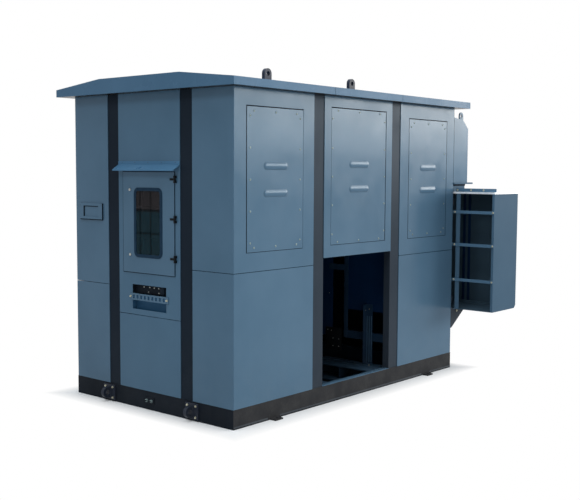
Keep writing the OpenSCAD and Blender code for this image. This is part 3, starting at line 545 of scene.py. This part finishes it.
SIDE_POST_LIT_TONES = (0.022, 0.03, 0.042), (0.026, 0.035, 0.048), (0.03, 0.04, 0.054)
POST_SHADED_TONES = (0.011, 0.0165, 0.025), (0.013, 0.0195, 0.0295), (0.016, 0.023, 0.034)
SIDE_BASE_LIT_TONES = (0.021, 0.022, 0.025), (0.025, 0.026, 0.029), (0.03, 0.031, 0.034)
LIP_SHADES = (0.05, 0.057, 0.066), (0.058, 0.066, 0.076), (0.066, 0.075, 0.086)
BASE_SHADED_TONES = (0.007, 0.0105, 0.016), (0.009, 0.013, 0.0195), (0.012, 0.0165, 0.024)
NAVY_SHADES = (0.01, 0.016, 0.029), (0.013, 0.02, 0.036), (0.018, 0.026, 0.044)
BLACK_SHADES = (0.003, 0.004, 0.006), (0.005, 0.007, 0.009), (0.008, 0.01, 0.013)
# Painted shade on the inner faces, for the shade inside: its colour, the middle that they face, how far off
# they start, and along which axes
HOUSING_INNER_SHADE = (0.012, 0.026, 0.045), (0, 0, 0), 0.7, (1, 1, 0)
BOX_INNER_SHADE = (0.052, 0.09, 0.125), (1.667, -0.865, 1.07), 0.1, (1, 1, 1)
# Painted shade on single faces, under the eaves and on the document frame's edges, and bluish tints of the
# sheen that paint in a blue sky in the reflections
EAVES_SHADE = (0.022, 0.019, 0.017)
EDGE_SHADE = (0.006, 0.012, 0.022)
COOL = (0.5, 0.75, 1)
DEEP_COOL = (0.38, 0.7, 1)
COOLISH = (0.76, 0.91, 1)

# Finishes; the lit, shaded and tinted copies carry painted light, and so do the inner, underside, edge and
# bead shades
PANEL = powder_paint("blue_grey_paint", PANEL_SHADES, 0.2, 0.16, 0.06, HOUSING_INNER_SHADE, tint=COOLISH)
COVER = powder_paint("blue_grey_cover_paint", PANEL_SHADES, 0.19, 0.2, 0.06, HOUSING_INNER_SHADE, tint=COOLISH,
                     beads=0.35)
END_SHADED = powder_paint("blue_grey_paint_shaded_for_ends", END_SHADED_TONES, 0.2, 0.16, 0.01, HOUSING_INNER_SHADE, tint=COOLISH)
OUTER = powder_paint("blue_grey_duct_paint", PANEL_SHADES, 0.24, 0.12, 0.06, tint=COOLISH)
DOCUMENT_EDGE_SHADED = powder_paint("blue_grey_paint_with_shaded_frame_edges", PANEL_SHADES, 0.2, 0.16, 0.06, edge_shade=EDGE_SHADE,
                        tint=COOLISH)
BOX_SHADED = powder_paint("blue_grey_paint_shaded_for_box", BOX_SHADED_TONES, 0.4, 0.03, 0.04, BOX_INNER_SHADE)
BEAM_SHADED = powder_paint("blue_grey_paint_shaded_for_beam", BEAM_SHADED_TONES, 0.4, 0.1, 0.1)
HOOD_LIT = powder_paint("blue_grey_paint_lit_for_hood", HOOD_LIT_TONES, 0.3, 0.07, 0.06)
ROOF_TINTED = powder_paint("blue_grey_paint_tinted_for_roof_with_eaves_shade", ROOF_TINTED_TONES, 0.26, 0.085, 0.06, underside_shade=EAVES_SHADE, tint=COOL)
INNER_SHADED = powder_paint("blue_grey_paint_shaded_inside", INNER_SHADED_TONES, 0.45, 0.1, 0.1)
STRUT_SHADED = powder_paint("blue_grey_paint_shaded_for_strut", STRUT_SHADED_TONES, 0.4, 0.12, 0.1)
SLOT_SHADED = powder_paint("blue_grey_paint_shaded_for_slot", SLOT_SHADED_TONES, 0.4, 0.05, 0.05)
SIDE_POST_LIT = powder_paint("anthracite_paint_lit_for_side_posts", SIDE_POST_LIT_TONES, 0.36, 0.08, 0.04, tint=DEEP_COOL)
POST_SHADED = powder_paint("anthracite_paint_shaded_for_end_posts", POST_SHADED_TONES, 0.4, 0.03, 0.04, tint=COOL)
SIDE_BASE_LIT = powder_paint("anthracite_paint_lit_for_side_rails", SIDE_BASE_LIT_TONES, 0.48, 0.045, 0.1)
LIP = powder_paint("grey_lip_paint", LIP_SHADES, 0.45, 0.06, 0.04)
BASE_SHADED = powder_paint("anthracite_paint_shaded_for_end_rails", BASE_SHADED_TONES, 0.48, 0.04, 0.03)
NAVY = powder_paint("navy_lug_paint", NAVY_SHADES, 0.4, 0.16, 0.1)
BLACK = powder_paint("black_hinge_paint", BLACK_SHADES, 0.45, 0.08, 0.05)
ZINC = plated_steel("yellow_zinc", (0.36, 0.35, 0.27), (0.47, 0.46, 0.36), (0.58, 0.57, 0.46), 0.42)
DULL_ZINC = plated_steel("dull_zinc", (0.25, 0.27, 0.27), (0.34, 0.36, 0.35), (0.44, 0.45, 0.43), 0.48)
SCREW_ZINC = plated_steel("stained_zinc", (0.15, 0.2, 0.205), (0.2, 0.265, 0.27), (0.27, 0.345, 0.35), 0.5)
GALVANISED = galvanised_sheet()
RUBBER = moulded_rubber("black_rubber", (0.006, 0.01, 0.016), (0.011, 0.017, 0.026))
BLUE_RUBBER = moulded_rubber("blue_grey_rubber", (0.012, 0.03, 0.056), (0.018, 0.042, 0.074))
GLASS = window_pane()

# Solids whose finish isn't the plain one of their slot, many of them lit or shaded copies with painted light
OTHER_FINISH = {"base_side_rails": SIDE_BASE_LIT, "base_end_rails": BASE_SHADED, "base_cross_members": BEAM_SHADED,
                "anchor_tabs": SIDE_BASE_LIT, "front_posts": SIDE_POST_LIT, "back_posts": SIDE_POST_LIT,
                "inner_partition": INNER_SHADED, "inner_frame": STRUT_SHADED, "terminal_strip": BASE_SHADED, "slot_plate": SLOT_SHADED,
                "roof_left": ROOF_TINTED, "roof_middle": ROOF_TINTED, "roof_right": ROOF_TINTED, "rain_hood": HOOD_LIT,
                "duct_lifting_eye": OUTER, "duct_flange": BOX_SHADED, "lid_strip": OUTER,
                "cable_box": BOX_SHADED, "clamp_rails": OUTER, "earth_terminal": BASE_SHADED,
                "window_rubber": BLUE_RUBBER, "door_locks": DULL_ZINC,
                "cable_box_brackets": SIDE_POST_LIT, "document_frame": DOCUMENT_EDGE_SHADED}
OTHER_FINISH |= {f"{side}_{place}_cover": COVER for side in ("front", "back")
                 for place in ("left", "middle", "right")}
OTHER_FINISH |= {f"{end}_end_{panel}": END_SHADED for end in ("left", "right")
                 for panel in ("panel", "lower_panel")}
FINISH_OF_SLOT = {"panel_paint": PANEL, "frame_paint": POST_SHADED, "lug_paint": NAVY, "zinc": ZINC,
                  "galvanised": GALVANISED, "hinge_black": BLACK, "rubber": RUBBER, "glass": GLASS}


def dress_solids():
    """Gives every solid its own finish or the one of its slot."""
    for part in frame["record"]["subparts"]:
        name = part["node"]
        finish = OTHER_FINISH.get(name) or FINISH_OF_SLOT[part["material_slot"]]
        for slot in frame["nodes"][name].material_slots:
            slot.material = finish


# Pieces

def cover_screws(node_name, outward, side_in, side_rows, end_in, end_row):
    """Screws round a cover: rows up both sides, and rows along the top and bottom."""
    low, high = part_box(node_name)
    mid = (low + high) / 2
    half_w, half_h = (high.x - low.x) / 2, (high.z - low.z) / 2
    spots = [(s * (half_w - side_in), z) for s in SIDES for z in side_rows]
    spots += [(x, s * (half_h - end_in)) for s in SIDES for x in end_row]
    places = [facing((mid.x + x, outward.y * COVER_FACE, mid.z + z), outward) for x, z in spots]
    piece(node_name + "_screws", repeated(SCREW, places), SCREW_ZINC)


def all_cover_screws():
    """Screws of the six covers. Rows are given by how far in they stand and where their screws are."""
    outer = 0.033, (-0.438, -0.219, 0, 0.219, 0.438), 0.03, (-0.228, 0, 0.228)
    middle = 0.014, (-0.438, -0.217, 0, 0.217, 0.438), 0.018, (-0.275, 0, 0.275)
    for side, outward in (("front", FRONT), ("back", BACK)):
        for place, rows in (("left", outer), ("right", outer), ("middle", middle)):
            cover_screws(f"{side}_{place}_cover", outward, *rows)


def joined(blocks):
    """One bmesh of several blocks, each given by two corners and an edge radius."""
    bm = bmesh.new()
    for low, high, edge in blocks:
        add(bm, as_mesh("block", bar(low, high, edge)), Matrix.Identity(4))
    return bm


def cover_gap_seals():
    """The rubber that shows in the gap round each cover, wider on one side as the covers have slipped."""
    above, below, deep, shallow, edge = 0.008, 0.004, 0.0039, 0.0022, 0.0003
    gaps = {"front_left": (0.01, 0.002), "front_middle": (0.004, 0.008), "front_right": (0.008, 0.004),
            "back_left": (0.01, 0.002), "back_middle": (0.008, 0.004), "back_right": (0.008, 0.004)}
    for name, (before, after) in gaps.items():
        low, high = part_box(name + "_cover")
        side = -1 if name.startswith("front") else 1
        near, far = sorted((side * (SIDE_Y - shallow), side * (SIDE_Y - deep)))
        spans = [(low.x - before, low.x, low.z - below, high.z + above),
                 (high.x, high.x + after, low.z - below, high.z + above),
                 (low.x, high.x, high.z, high.z + above), (low.x, high.x, low.z - below, low.z)]
        blocks = [((x0, near, z0), (x1, far, z1), edge) for x0, x1, z0, z1 in spans]
        piece(name + "_cover_seal", joined(blocks), RUBBER)


def bay_sill():
    """The painted strip on the base rail across the open bay."""
    half, front, back, top, edge = 0.4445, -0.8595, -0.801, 0.0024, 0.0006
    strip = bar((-half, front, BASE_TOP + CLEAR), (half, back, BASE_TOP + top), edge)
    piece("bay_sill", strip, OUTER)


def rail_lips():
    """A pale lip along the foot of each side rail and, under it, a dark strip that stands in for the rail's
    contact shadow, between the anchor tabs.
    """
    out, edge = 0.0018, 0.0004
    spans = (-1.429, -1.075), (-0.945, 0.945), (1.075, 1.429)
    strips = ("lip", LIP, 0.0085, 0.0205), ("foot_shadow", BLACK, 0.0005, 0.0083)
    for name, side in (("front", -1), ("back", 1)):
        near, far = sorted((side * (SIDE_Y + CLEAR), side * (SIDE_Y + out)))
        for part, finish, bottom, top in strips:
            blocks = [((x0, near, bottom), (x1, far, top), edge) for x0, x1 in spans]
            piece(f"{name}_rail_{part}", joined(blocks), finish)


def bay_beam():
    """A channel across the base in the open bay, with ribs in it and a foot plate under the strut."""
    lower_front, front, web, back, half = 0.22, 0.3, 0.45, 0.462, 0.852
    low, low_in, high_in, high, edge = 0.0102, 0.022, 0.118, 0.1298, 0.001
    foot_back, foot_near, foot_far = 0.5065, -0.8, -0.46
    rib_front, rib_half = front + 0.01, 0.004
    blocks = [((front, -half, high_in), (back, half, high), edge),
              ((web, -half, low_in), (back, half, high_in), edge),
              ((lower_front, -half, low), (back, half, low_in), edge),
              ((back, foot_near, high_in), (foot_back, foot_far, high), edge)]
    blocks += [((rib_front, y - rib_half, low_in), (web, y + rib_half, high_in), edge)
               for y in (-0.44, 0, 0.44)]
    piece("bay_beam", joined(blocks), BEAM_SHADED)
    place = facing((0.482, -0.63, high), UP, 0.3)
    piece("strut_foot_bolt", repeated(SMALL_BOLT, [place]), DULL_ZINC)


def terminals():
    """Bolts and an end cap on the strip behind the upper half of the cable slot."""
    x, upper, lower = 0.0305 - END_X, 0.914, 0.879
    spots = [(y, upper) for y in (0.086, 0.023, -0.027, -0.076)] + [(y, lower) for y in (0.038, -0.077)]
    places = [facing((x, y, z), LEFT, 0.4) for y, z in spots]
    piece("terminal_bolts", repeated(TINY_BOLT, places), DULL_ZINC)
    cap_out, edge = 0.012, 0.002
    cap = bar((x - cap_out, -0.144, 0.868), (x, -0.099, 0.928), edge)
    piece("terminal_end_cap", cap, POST_SHADED)


def partition_fittings():
    """A foot plate under the partition's slot, and the bolts that show inside the bay."""
    face, edge = PARTITION_X - FLAT_BAR, 0.001
    plate = bar((face, -0.27, 0.2), (PARTITION_X - CLEAR, -0.095, 0.4), edge)
    piece("partition_foot_plate", plate, BLACK)
    spots = [(-0.12, 0.376), (-0.16, 0.371), (-0.179, 0.302), (-0.243, 0.302), (-0.179, 0.236),
             (-0.243, 0.236), (-0.571, 0.6)]
    places = [facing((face, y, z), LEFT, 0.3) for y, z in spots]
    places += [facing((PARTITION_X, -0.131, 0.703), LEFT, 0.2), facing((0.533, -0.549, 0.592), FRONT, 0.3)]
    piece("partition_bolts", repeated(TINY_BOLT, places), DULL_ZINC)


def strut_ribs():
    """Three ribs up the face of the strut inside the bay."""
    face, out, half, bottom, top, edge = PARTITION_X - FLAT_BAR, 0.004, 0.003, 0.1405, 0.54, 0.0008
    blocks = [((face - out, y - half, bottom), (face - CLEAR, y + half, top), edge)
              for y in (-0.596, -0.573, -0.55)]
    piece("strut_ribs", joined(blocks), OUTER)


def bracket_bolts():
    """A bolt through each bracket under the cable box."""
    x, z, inner_y = 1.527, 0.512, -0.464
    places = [facing((x, -SIDE_Y, z), FRONT, 0.2), facing((x, inner_y, z), BACK, 0.2)]
    piece("bracket_bolts", repeated(SMALL_BOLT, places), ZINC)


def corner_plugs():
    """A small plug on the corner panels of the door's end."""
    away, z = 0.819, 1.577
    places = [facing((-END_X, s * away, z), LEFT) for s in SIDES]
    piece("corner_plugs", repeated(rivet(), places), PANEL)


def tow_eye_fittings():
    """Four bolts on each towing plate and a weld down both sides of each eye."""
    plate_out, eye_y, across, up = 0.012, 0.458, 0.042, 0.0405
    for end, outward in (("left", LEFT), ("right", RIGHT)):
        x = outward.x * (END_X + plate_out)
        bolts, welds = [], []
        for s in SIDES:
            mid = s * eye_y
            bolts += [facing((x, mid + sy * across, BASE_MID + sz * up), outward, 0.3 * sy)
                      for sy in SIDES for sz in SIDES]
            welds += [Matrix.Translation((x, mid + sy * WELD_AWAY, BASE_MID - WELD_LENGTH / 2))
                      for sy in SIDES]
        piece(f"{end}_tow_eye_bolts", repeated(PLATE_BOLT, bolts), ZINC)
        bead = weld_bead(WELD_LENGTH, WELD_RADIUS)
        piece(f"{end}_tow_eye_welds", repeated(bead, welds), NAVY)


def lug_fittings():
    """Four bolts on each lug's foot and a weld along both faces of the lug."""
    foot, lug_x, lug_y, bolt_x, bolt_y = ROOF_TOP + 0.01, 0.54, 0.362, 0.052, 0.028
    for side, s in (("front", -1), ("back", 1)):
        bolts, welds = [], []
        for sx in SIDES:
            mid = Vector((sx * lug_x, s * lug_y, foot))
            bolts += [facing(mid + Vector((bx * bolt_x, by * bolt_y, 0)), UP, 0.4 * bx)
                      for bx in SIDES for by in SIDES]
            welds += [facing(mid + Vector((-WELD_LENGTH / 2, by * WELD_AWAY, 0)), RIGHT) for by in SIDES]
        piece(f"{side}_lug_bolts", repeated(BOLT, bolts), ZINC)
        bead = weld_bead(WELD_LENGTH, WELD_RADIUS)
        piece(f"{side}_lug_welds", repeated(bead, welds), NAVY)


def earth_nuts():
    """Two nuts on the earth terminal."""
    x, away = -END_X - FLAT_BAR, 0.025
    places = [facing((x, s * away, BASE_MID), LEFT, 0.2 + s * 0.3) for s in SIDES]
    piece("earth_nuts", repeated(stud_nut(), places), SCREW_ZINC)


def clamp_bar_bolts():
    """A bolt at both ends of the clamp bar."""
    x, away, z = -END_X - FLAT_BAR, 0.199, 0.8385
    places = [facing((x, s * away, z), LEFT, 0.5) for s in SIDES]
    piece("clamp_bar_bolts", repeated(PLATE_BOLT, places), ZINC)


def clamp_bar_pad():
    """The strip behind the clamp bar's tie holes, in a darker copy of the paint that stands in for the shade
    behind the bar.
    """
    half, bottom, top, deep, edge = 0.1855, 0.8165, 0.8605, 0.0052, 0.001
    strip = bar((CLEAR - END_X, -half, bottom), (deep - END_X, half, top), edge)
    piece("clamp_bar_pad", strip, SLOT_SHADED)


def box_runners():
    """Two flat strips up the back wall of the cable box, in a darker copy of the paint that stands in for the
    shade inside.
    """
    near, far, bottom, top, wide, edge = 1.8782, 1.8818, 0.57, 1.588, 0.026, 0.0006
    blocks = [((near, y, bottom), (far, y + wide, top), edge) for y in (-0.79, -0.736)]
    piece("cable_box_runners", joined(blocks), INNER_SHADED)


def neck_gasket_and_shadow():
    """Rubber under the duct's flange, round its neck, made deep so that it also stands in for the flange's
    shadow on the neck.
    """
    low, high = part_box("duct_flange")
    flange, depth, out, wall, edge = 0.014, 0.016, 0.004, 0.015, 0.0008
    neck_in, neck_wide, gap = 0.025, 0.224, 0.0005
    bottom, top = high.z - flange - depth, high.z - flange - CLEAR
    near, far = low.y + neck_in - out, high.y
    x0, x1 = END_X + gap, END_X + neck_wide + out
    blocks = [((x0, near, bottom), (x1, near + wall, top), edge),
              ((x1 - wall, near + wall, bottom), (x1, far, top), edge)]
    piece("neck_gasket_and_shadow", joined(blocks), RUBBER)


def document_frame_shadow_strips():
    """Black rubber strips that stand in for the frame's shadow: along its lower edge, and in its recess along
    the upper edge and the back one.
    """
    low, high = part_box("document_frame")
    border, side, inset, edge = 0.02, 0.048, 0.002, 0.0006
    lower_x, lower, upper, back = low.x + 0.003, 0.007, 0.006, 0.009
    near, far = low.x + inset, low.x + 0.0065 - CLEAR
    top, back_y = high.z - border, high.y - side
    blocks = [((lower_x, low.y + inset, low.z - lower),
               (high.x - CLEAR, high.y - inset, low.z - CLEAR), edge),
              ((near, low.y + side, top - upper), (far, back_y, top - CLEAR), edge),
              ((near, back_y - back, low.z + border), (far, back_y - CLEAR, top - upper - CLEAR), edge)]
    piece("document_frame_shadow_strips", joined(blocks), RUBBER)


def rail_bolts():
    """A bolt at both ends of each clamp rail."""
    x, ends, heights = 1.445, (-1.254, -0.872), (0.8095, 1.1283, 1.4225)
    places = [facing((x, y, z), LEFT, 0.3) for y in ends for z in heights]
    piece("clamp_rail_bolts", repeated(SMALL_BOLT, places), ZINC)


def lid_strip_bolts():
    """Three bolts in the strip on the cable box's lid."""
    x, z = 1.48, 1.619
    places = [facing((x, y, z), LEFT, 0.3) for y in (-1.138, -1.013, -0.876)]
    piece("lid_strip_bolts", repeated(SMALL_BOLT, places), ZINC)


def hinge_rivets():
    """Two rivets in each strap on the door."""
    strap, pin_y, heights = 0.004, -0.294, (1.145, 1.431, 1.717)
    places = [facing((-DOOR_FACE - strap, pin_y + away, z), LEFT) for z in heights for away in (0.026, 0.046)]
    piece("hinge_rivets", repeated(rivet(), places), BLACK, DOOR)


def door_seal():
    """The rubber in the gap round the door, just under the door's face."""
    height, width, border, depth, edge = 0.7556, 0.5696, 0.0036, 0.0186, 0.0006
    bm = ring(height, width, border, depth, edge)
    place = facing((-DOOR_STOP - CLEAR, 0, DOOR_MID_Z), LEFT, math.radians(90))
    bmesh.ops.transform(bm, matrix=place, verts=bm.verts)
    piece("door_seal", bm, RUBBER)


def roof_joint_seals():
    """Sealing strips in the joints of the roof, just under its faces."""
    inset, half_gap, depth = 0.002, 0.002, 0.012
    for name, x in (("left", -JOINT_X), ("right", JOINT_X)):
        half = ROOF_HALF - inset
        line = [(-half, WALL_TOP + inset), (-half, ROOF_EDGE - inset), (-ROOF_FLAT, ROOF_TOP - inset),
                (ROOF_FLAT, ROOF_TOP - inset), (half, ROOF_EDGE - inset), (half, WALL_TOP + inset)]
        inner = [(y - math.copysign(depth, y) * (abs(y) > ROOF_FLAT), z - depth * (z > WALL_TOP + inset))
                 for y, z in reversed(line)]
        bm = bmesh.new()
        section = bm.faces.new([bm.verts.new((x - half_gap, y, z)) for y, z in line + inner])
        swept = bmesh.ops.extrude_face_region(bm, geom=[section])["geom"]
        far = [item for item in swept if isinstance(item, bmesh.types.BMVert)]
        bmesh.ops.translate(bm, verts=far, vec=(2 * half_gap, 0, 0))
        bmesh.ops.recalc_face_normals(bm, faces=bm.faces)
        piece(f"{name}_roof_joint_seal", bm, RUBBER)


def hood_rivets():
    """Rivets along the upper edge of the rain hood."""
    sheet, z = 0.003, 1.838
    places = [facing((-END_X - sheet, y, z), LEFT) for y in (-0.29, -0.145, 0, 0.145, 0.29)]
    piece("rain_hood_rivets", repeated(rivet(), places), PANEL)


def document_frame_rivets():
    """A rivet in each corner of the document frame."""
    low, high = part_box("document_frame")
    inner = 0.012
    places = [facing((low.x, y, z), LEFT) for y in (low.y + inner, high.y - inner)
              for z in (low.z + inner, high.z - inner)]
    piece("document_frame_rivets", repeated(rivet(), places), PANEL)


# Studio

FLOOR_HALF = 40
FLOOR_UNDER_SHADOW = (0.05, 0.05, 0.05)
FLOOR_NEAR = (0.86, 0.86, 0.86)
FLOOR_FAR = (0.64, 0.64, 0.64)
SHADOW_REACH = 0.2
UNDER_FADE = 0.06
SKY = (0.86, 0.95, 1.04)
SKY_STRENGTH = 0.332
LENS_MM = 59.13
SENSOR_MM = 36
CAMERA_PLACE = (-6.079, -5.31, 1.777)
CAMERA_DEGREES = (-49.66, 85.29, 0.306)


def studio_floor():
    """A pale floor that keeps the shadow round the housing and runs to white further off."""
    bm = bmesh.new()
    bmesh.ops.create_grid(bm, x_segments=1, y_segments=1, size=FLOOR_HALF)
    floor = bpy.data.objects.new("studio_floor", as_mesh("studio_floor", bm))
    bpy.context.scene.collection.objects.link(floor)
    floor.data.materials.append(floor_finish())


def floor_finish():
    """Painted shadow under the housing, pale round it, and white where the background shows."""
    finish = new_finish("pale_floor")
    where = along_axes(finish, "Object")
    past_end = less(finish, without_sign(finish, where["X"]), END_X)
    past_side = less(finish, without_sign(finish, where["Y"]), SIDE_Y)
    reach = combined(finish, "MAXIMUM", past_end, past_side)
    clear = spread(finish, reach, 0, 1, 0, SHADOW_REACH)
    # Painted shadow: the floor is dark under the housing
    under = spread(finish, reach, 0, 1, -UNDER_FADE, 0)
    colour = tones(finish, under, [(0, FLOOR_UNDER_SHADOW), (1, FLOOR_NEAR)])
    colour = blend(finish, clear, colour, FLOOR_FAR)
    matt = node(finish, "ShaderNodeBsdfDiffuse")
    wire(finish, colour, matt.inputs["Color"])
    white = node(finish, "ShaderNodeEmission", {"Color": (*WHITE, 1), "Strength": 1})
    shows = combined(finish, "MULTIPLY", clear, seen_rays(finish))
    mixed = mix_shaders(finish, shows, matt.outputs["BSDF"], white.outputs["Emission"])
    output = node(finish, "ShaderNodeOutputMaterial")
    wire(finish, mixed, output.inputs["Surface"])
    return finish


def seen_rays(finish):
    """One for rays that show the background: straight to the camera, mirrored, or through glass."""
    path = node(finish, "ShaderNodeLightPath")
    seen = path.outputs["Is Camera Ray"]
    for name in ("Is Glossy Ray", "Is Transmission Ray"):
        seen = combined(finish, "MAXIMUM", seen, path.outputs[name])
    return seen


def studio_world():
    """Soft light from all round, and a white background."""
    world = bpy.data.worlds.new("studio_world")
    world.use_nodes = True
    world.node_tree.nodes.clear()
    bpy.context.scene.world = world
    soft = node(world, "ShaderNodeBackground", {"Color": (*SKY, 1), "Strength": SKY_STRENGTH})
    white = node(world, "ShaderNodeBackground", {"Color": (*WHITE, 1), "Strength": 1})
    mixed = mix_shaders(world, seen_rays(world), soft.outputs["Background"], white.outputs["Background"])
    output = node(world, "ShaderNodeOutputWorld")
    wire(world, mixed, output.inputs["Surface"])


def softbox(name, place, target, size, power, colour):
    """A rectangular lamp that looks at a target."""
    lamp = bpy.data.lights.new(name, "AREA")
    lamp.color = colour
    lamp.shape = "RECTANGLE"
    lamp.size, lamp.size_y = size
    lamp.energy = power
    made = bpy.data.objects.new(name, lamp)
    bpy.context.scene.collection.objects.link(made)
    made.location = place
    made.rotation_euler = (Vector(target) - Vector(place)).to_track_quat("-Z", "Y").to_euler()


def studio_camera():
    """The camera at the photograph's viewing angle."""
    lens = bpy.data.cameras.new("photo_camera")
    lens.lens = LENS_MM
    lens.sensor_width = SENSOR_MM
    made = bpy.data.objects.new("photo_camera", lens)
    bpy.context.scene.collection.objects.link(made)
    made.location = CAMERA_PLACE
    heading, tilt, roll = (math.radians(angle) for angle in CAMERA_DEGREES)
    turned = Matrix.Rotation(heading, 3, "Z") @ Matrix.Rotation(tilt, 3, "X") @ Matrix.Rotation(roll, 3, "Z")
    made.rotation_euler = turned.to_euler()
    bpy.context.scene.camera = made


# Bolts by width across the flats, height of the head and radius of the washer, in millimetres
SCREW = button_screw()
BOLT = hex_bolt(17, 7, 13, "hex_bolt")
PLATE_BOLT = hex_bolt(13, 6, 8.6, "plate_bolt")
SMALL_BOLT = hex_bolt(13, 5, 9, "small_hex_bolt")
TINY_BOLT = hex_bolt(8, 4, 5.4, "tiny_hex_bolt")

dress_solids()
all_cover_screws()
cover_gap_seals()
bay_sill()
rail_lips()
bay_beam()
terminals()
partition_fittings()
strut_ribs()
bracket_bolts()
corner_plugs()
tow_eye_fittings()
lug_fittings()
earth_nuts()
clamp_bar_bolts()
clamp_bar_pad()
box_runners()
neck_gasket_and_shadow()
document_frame_shadow_strips()
rail_bolts()
lid_strip_bolts()
hinge_rivets()
door_seal()
roof_joint_seals()
hood_rivets()
document_frame_rivets()

studio_world()
studio_floor()
softbox("front_softbox", (24.2, -18.5, 6.8), (0, -0.9, 1.6), (24, 8), 6100, (0.96, 0.94, 0.91))
softbox("top_softbox", (-0.5, -0.4, 7.5), (0, 0, 0), (6, 6), 650, (0.93, 0.97, 1))
softbox("corner_softbox", (-4, -8.5, 1.2), (-0.8, -0.86, 0.8), (4, 2), 48, (1, 0.95, 0.9))
softbox("left_softbox", (-6.2, -2.2, 5.6), (-1.43, -0.5, 1.6), (1.6, 1.6), 82, (0.93, 0.98, 1))
studio_camera()
bpy.context.scene.view_settings.view_transform = "Standard"
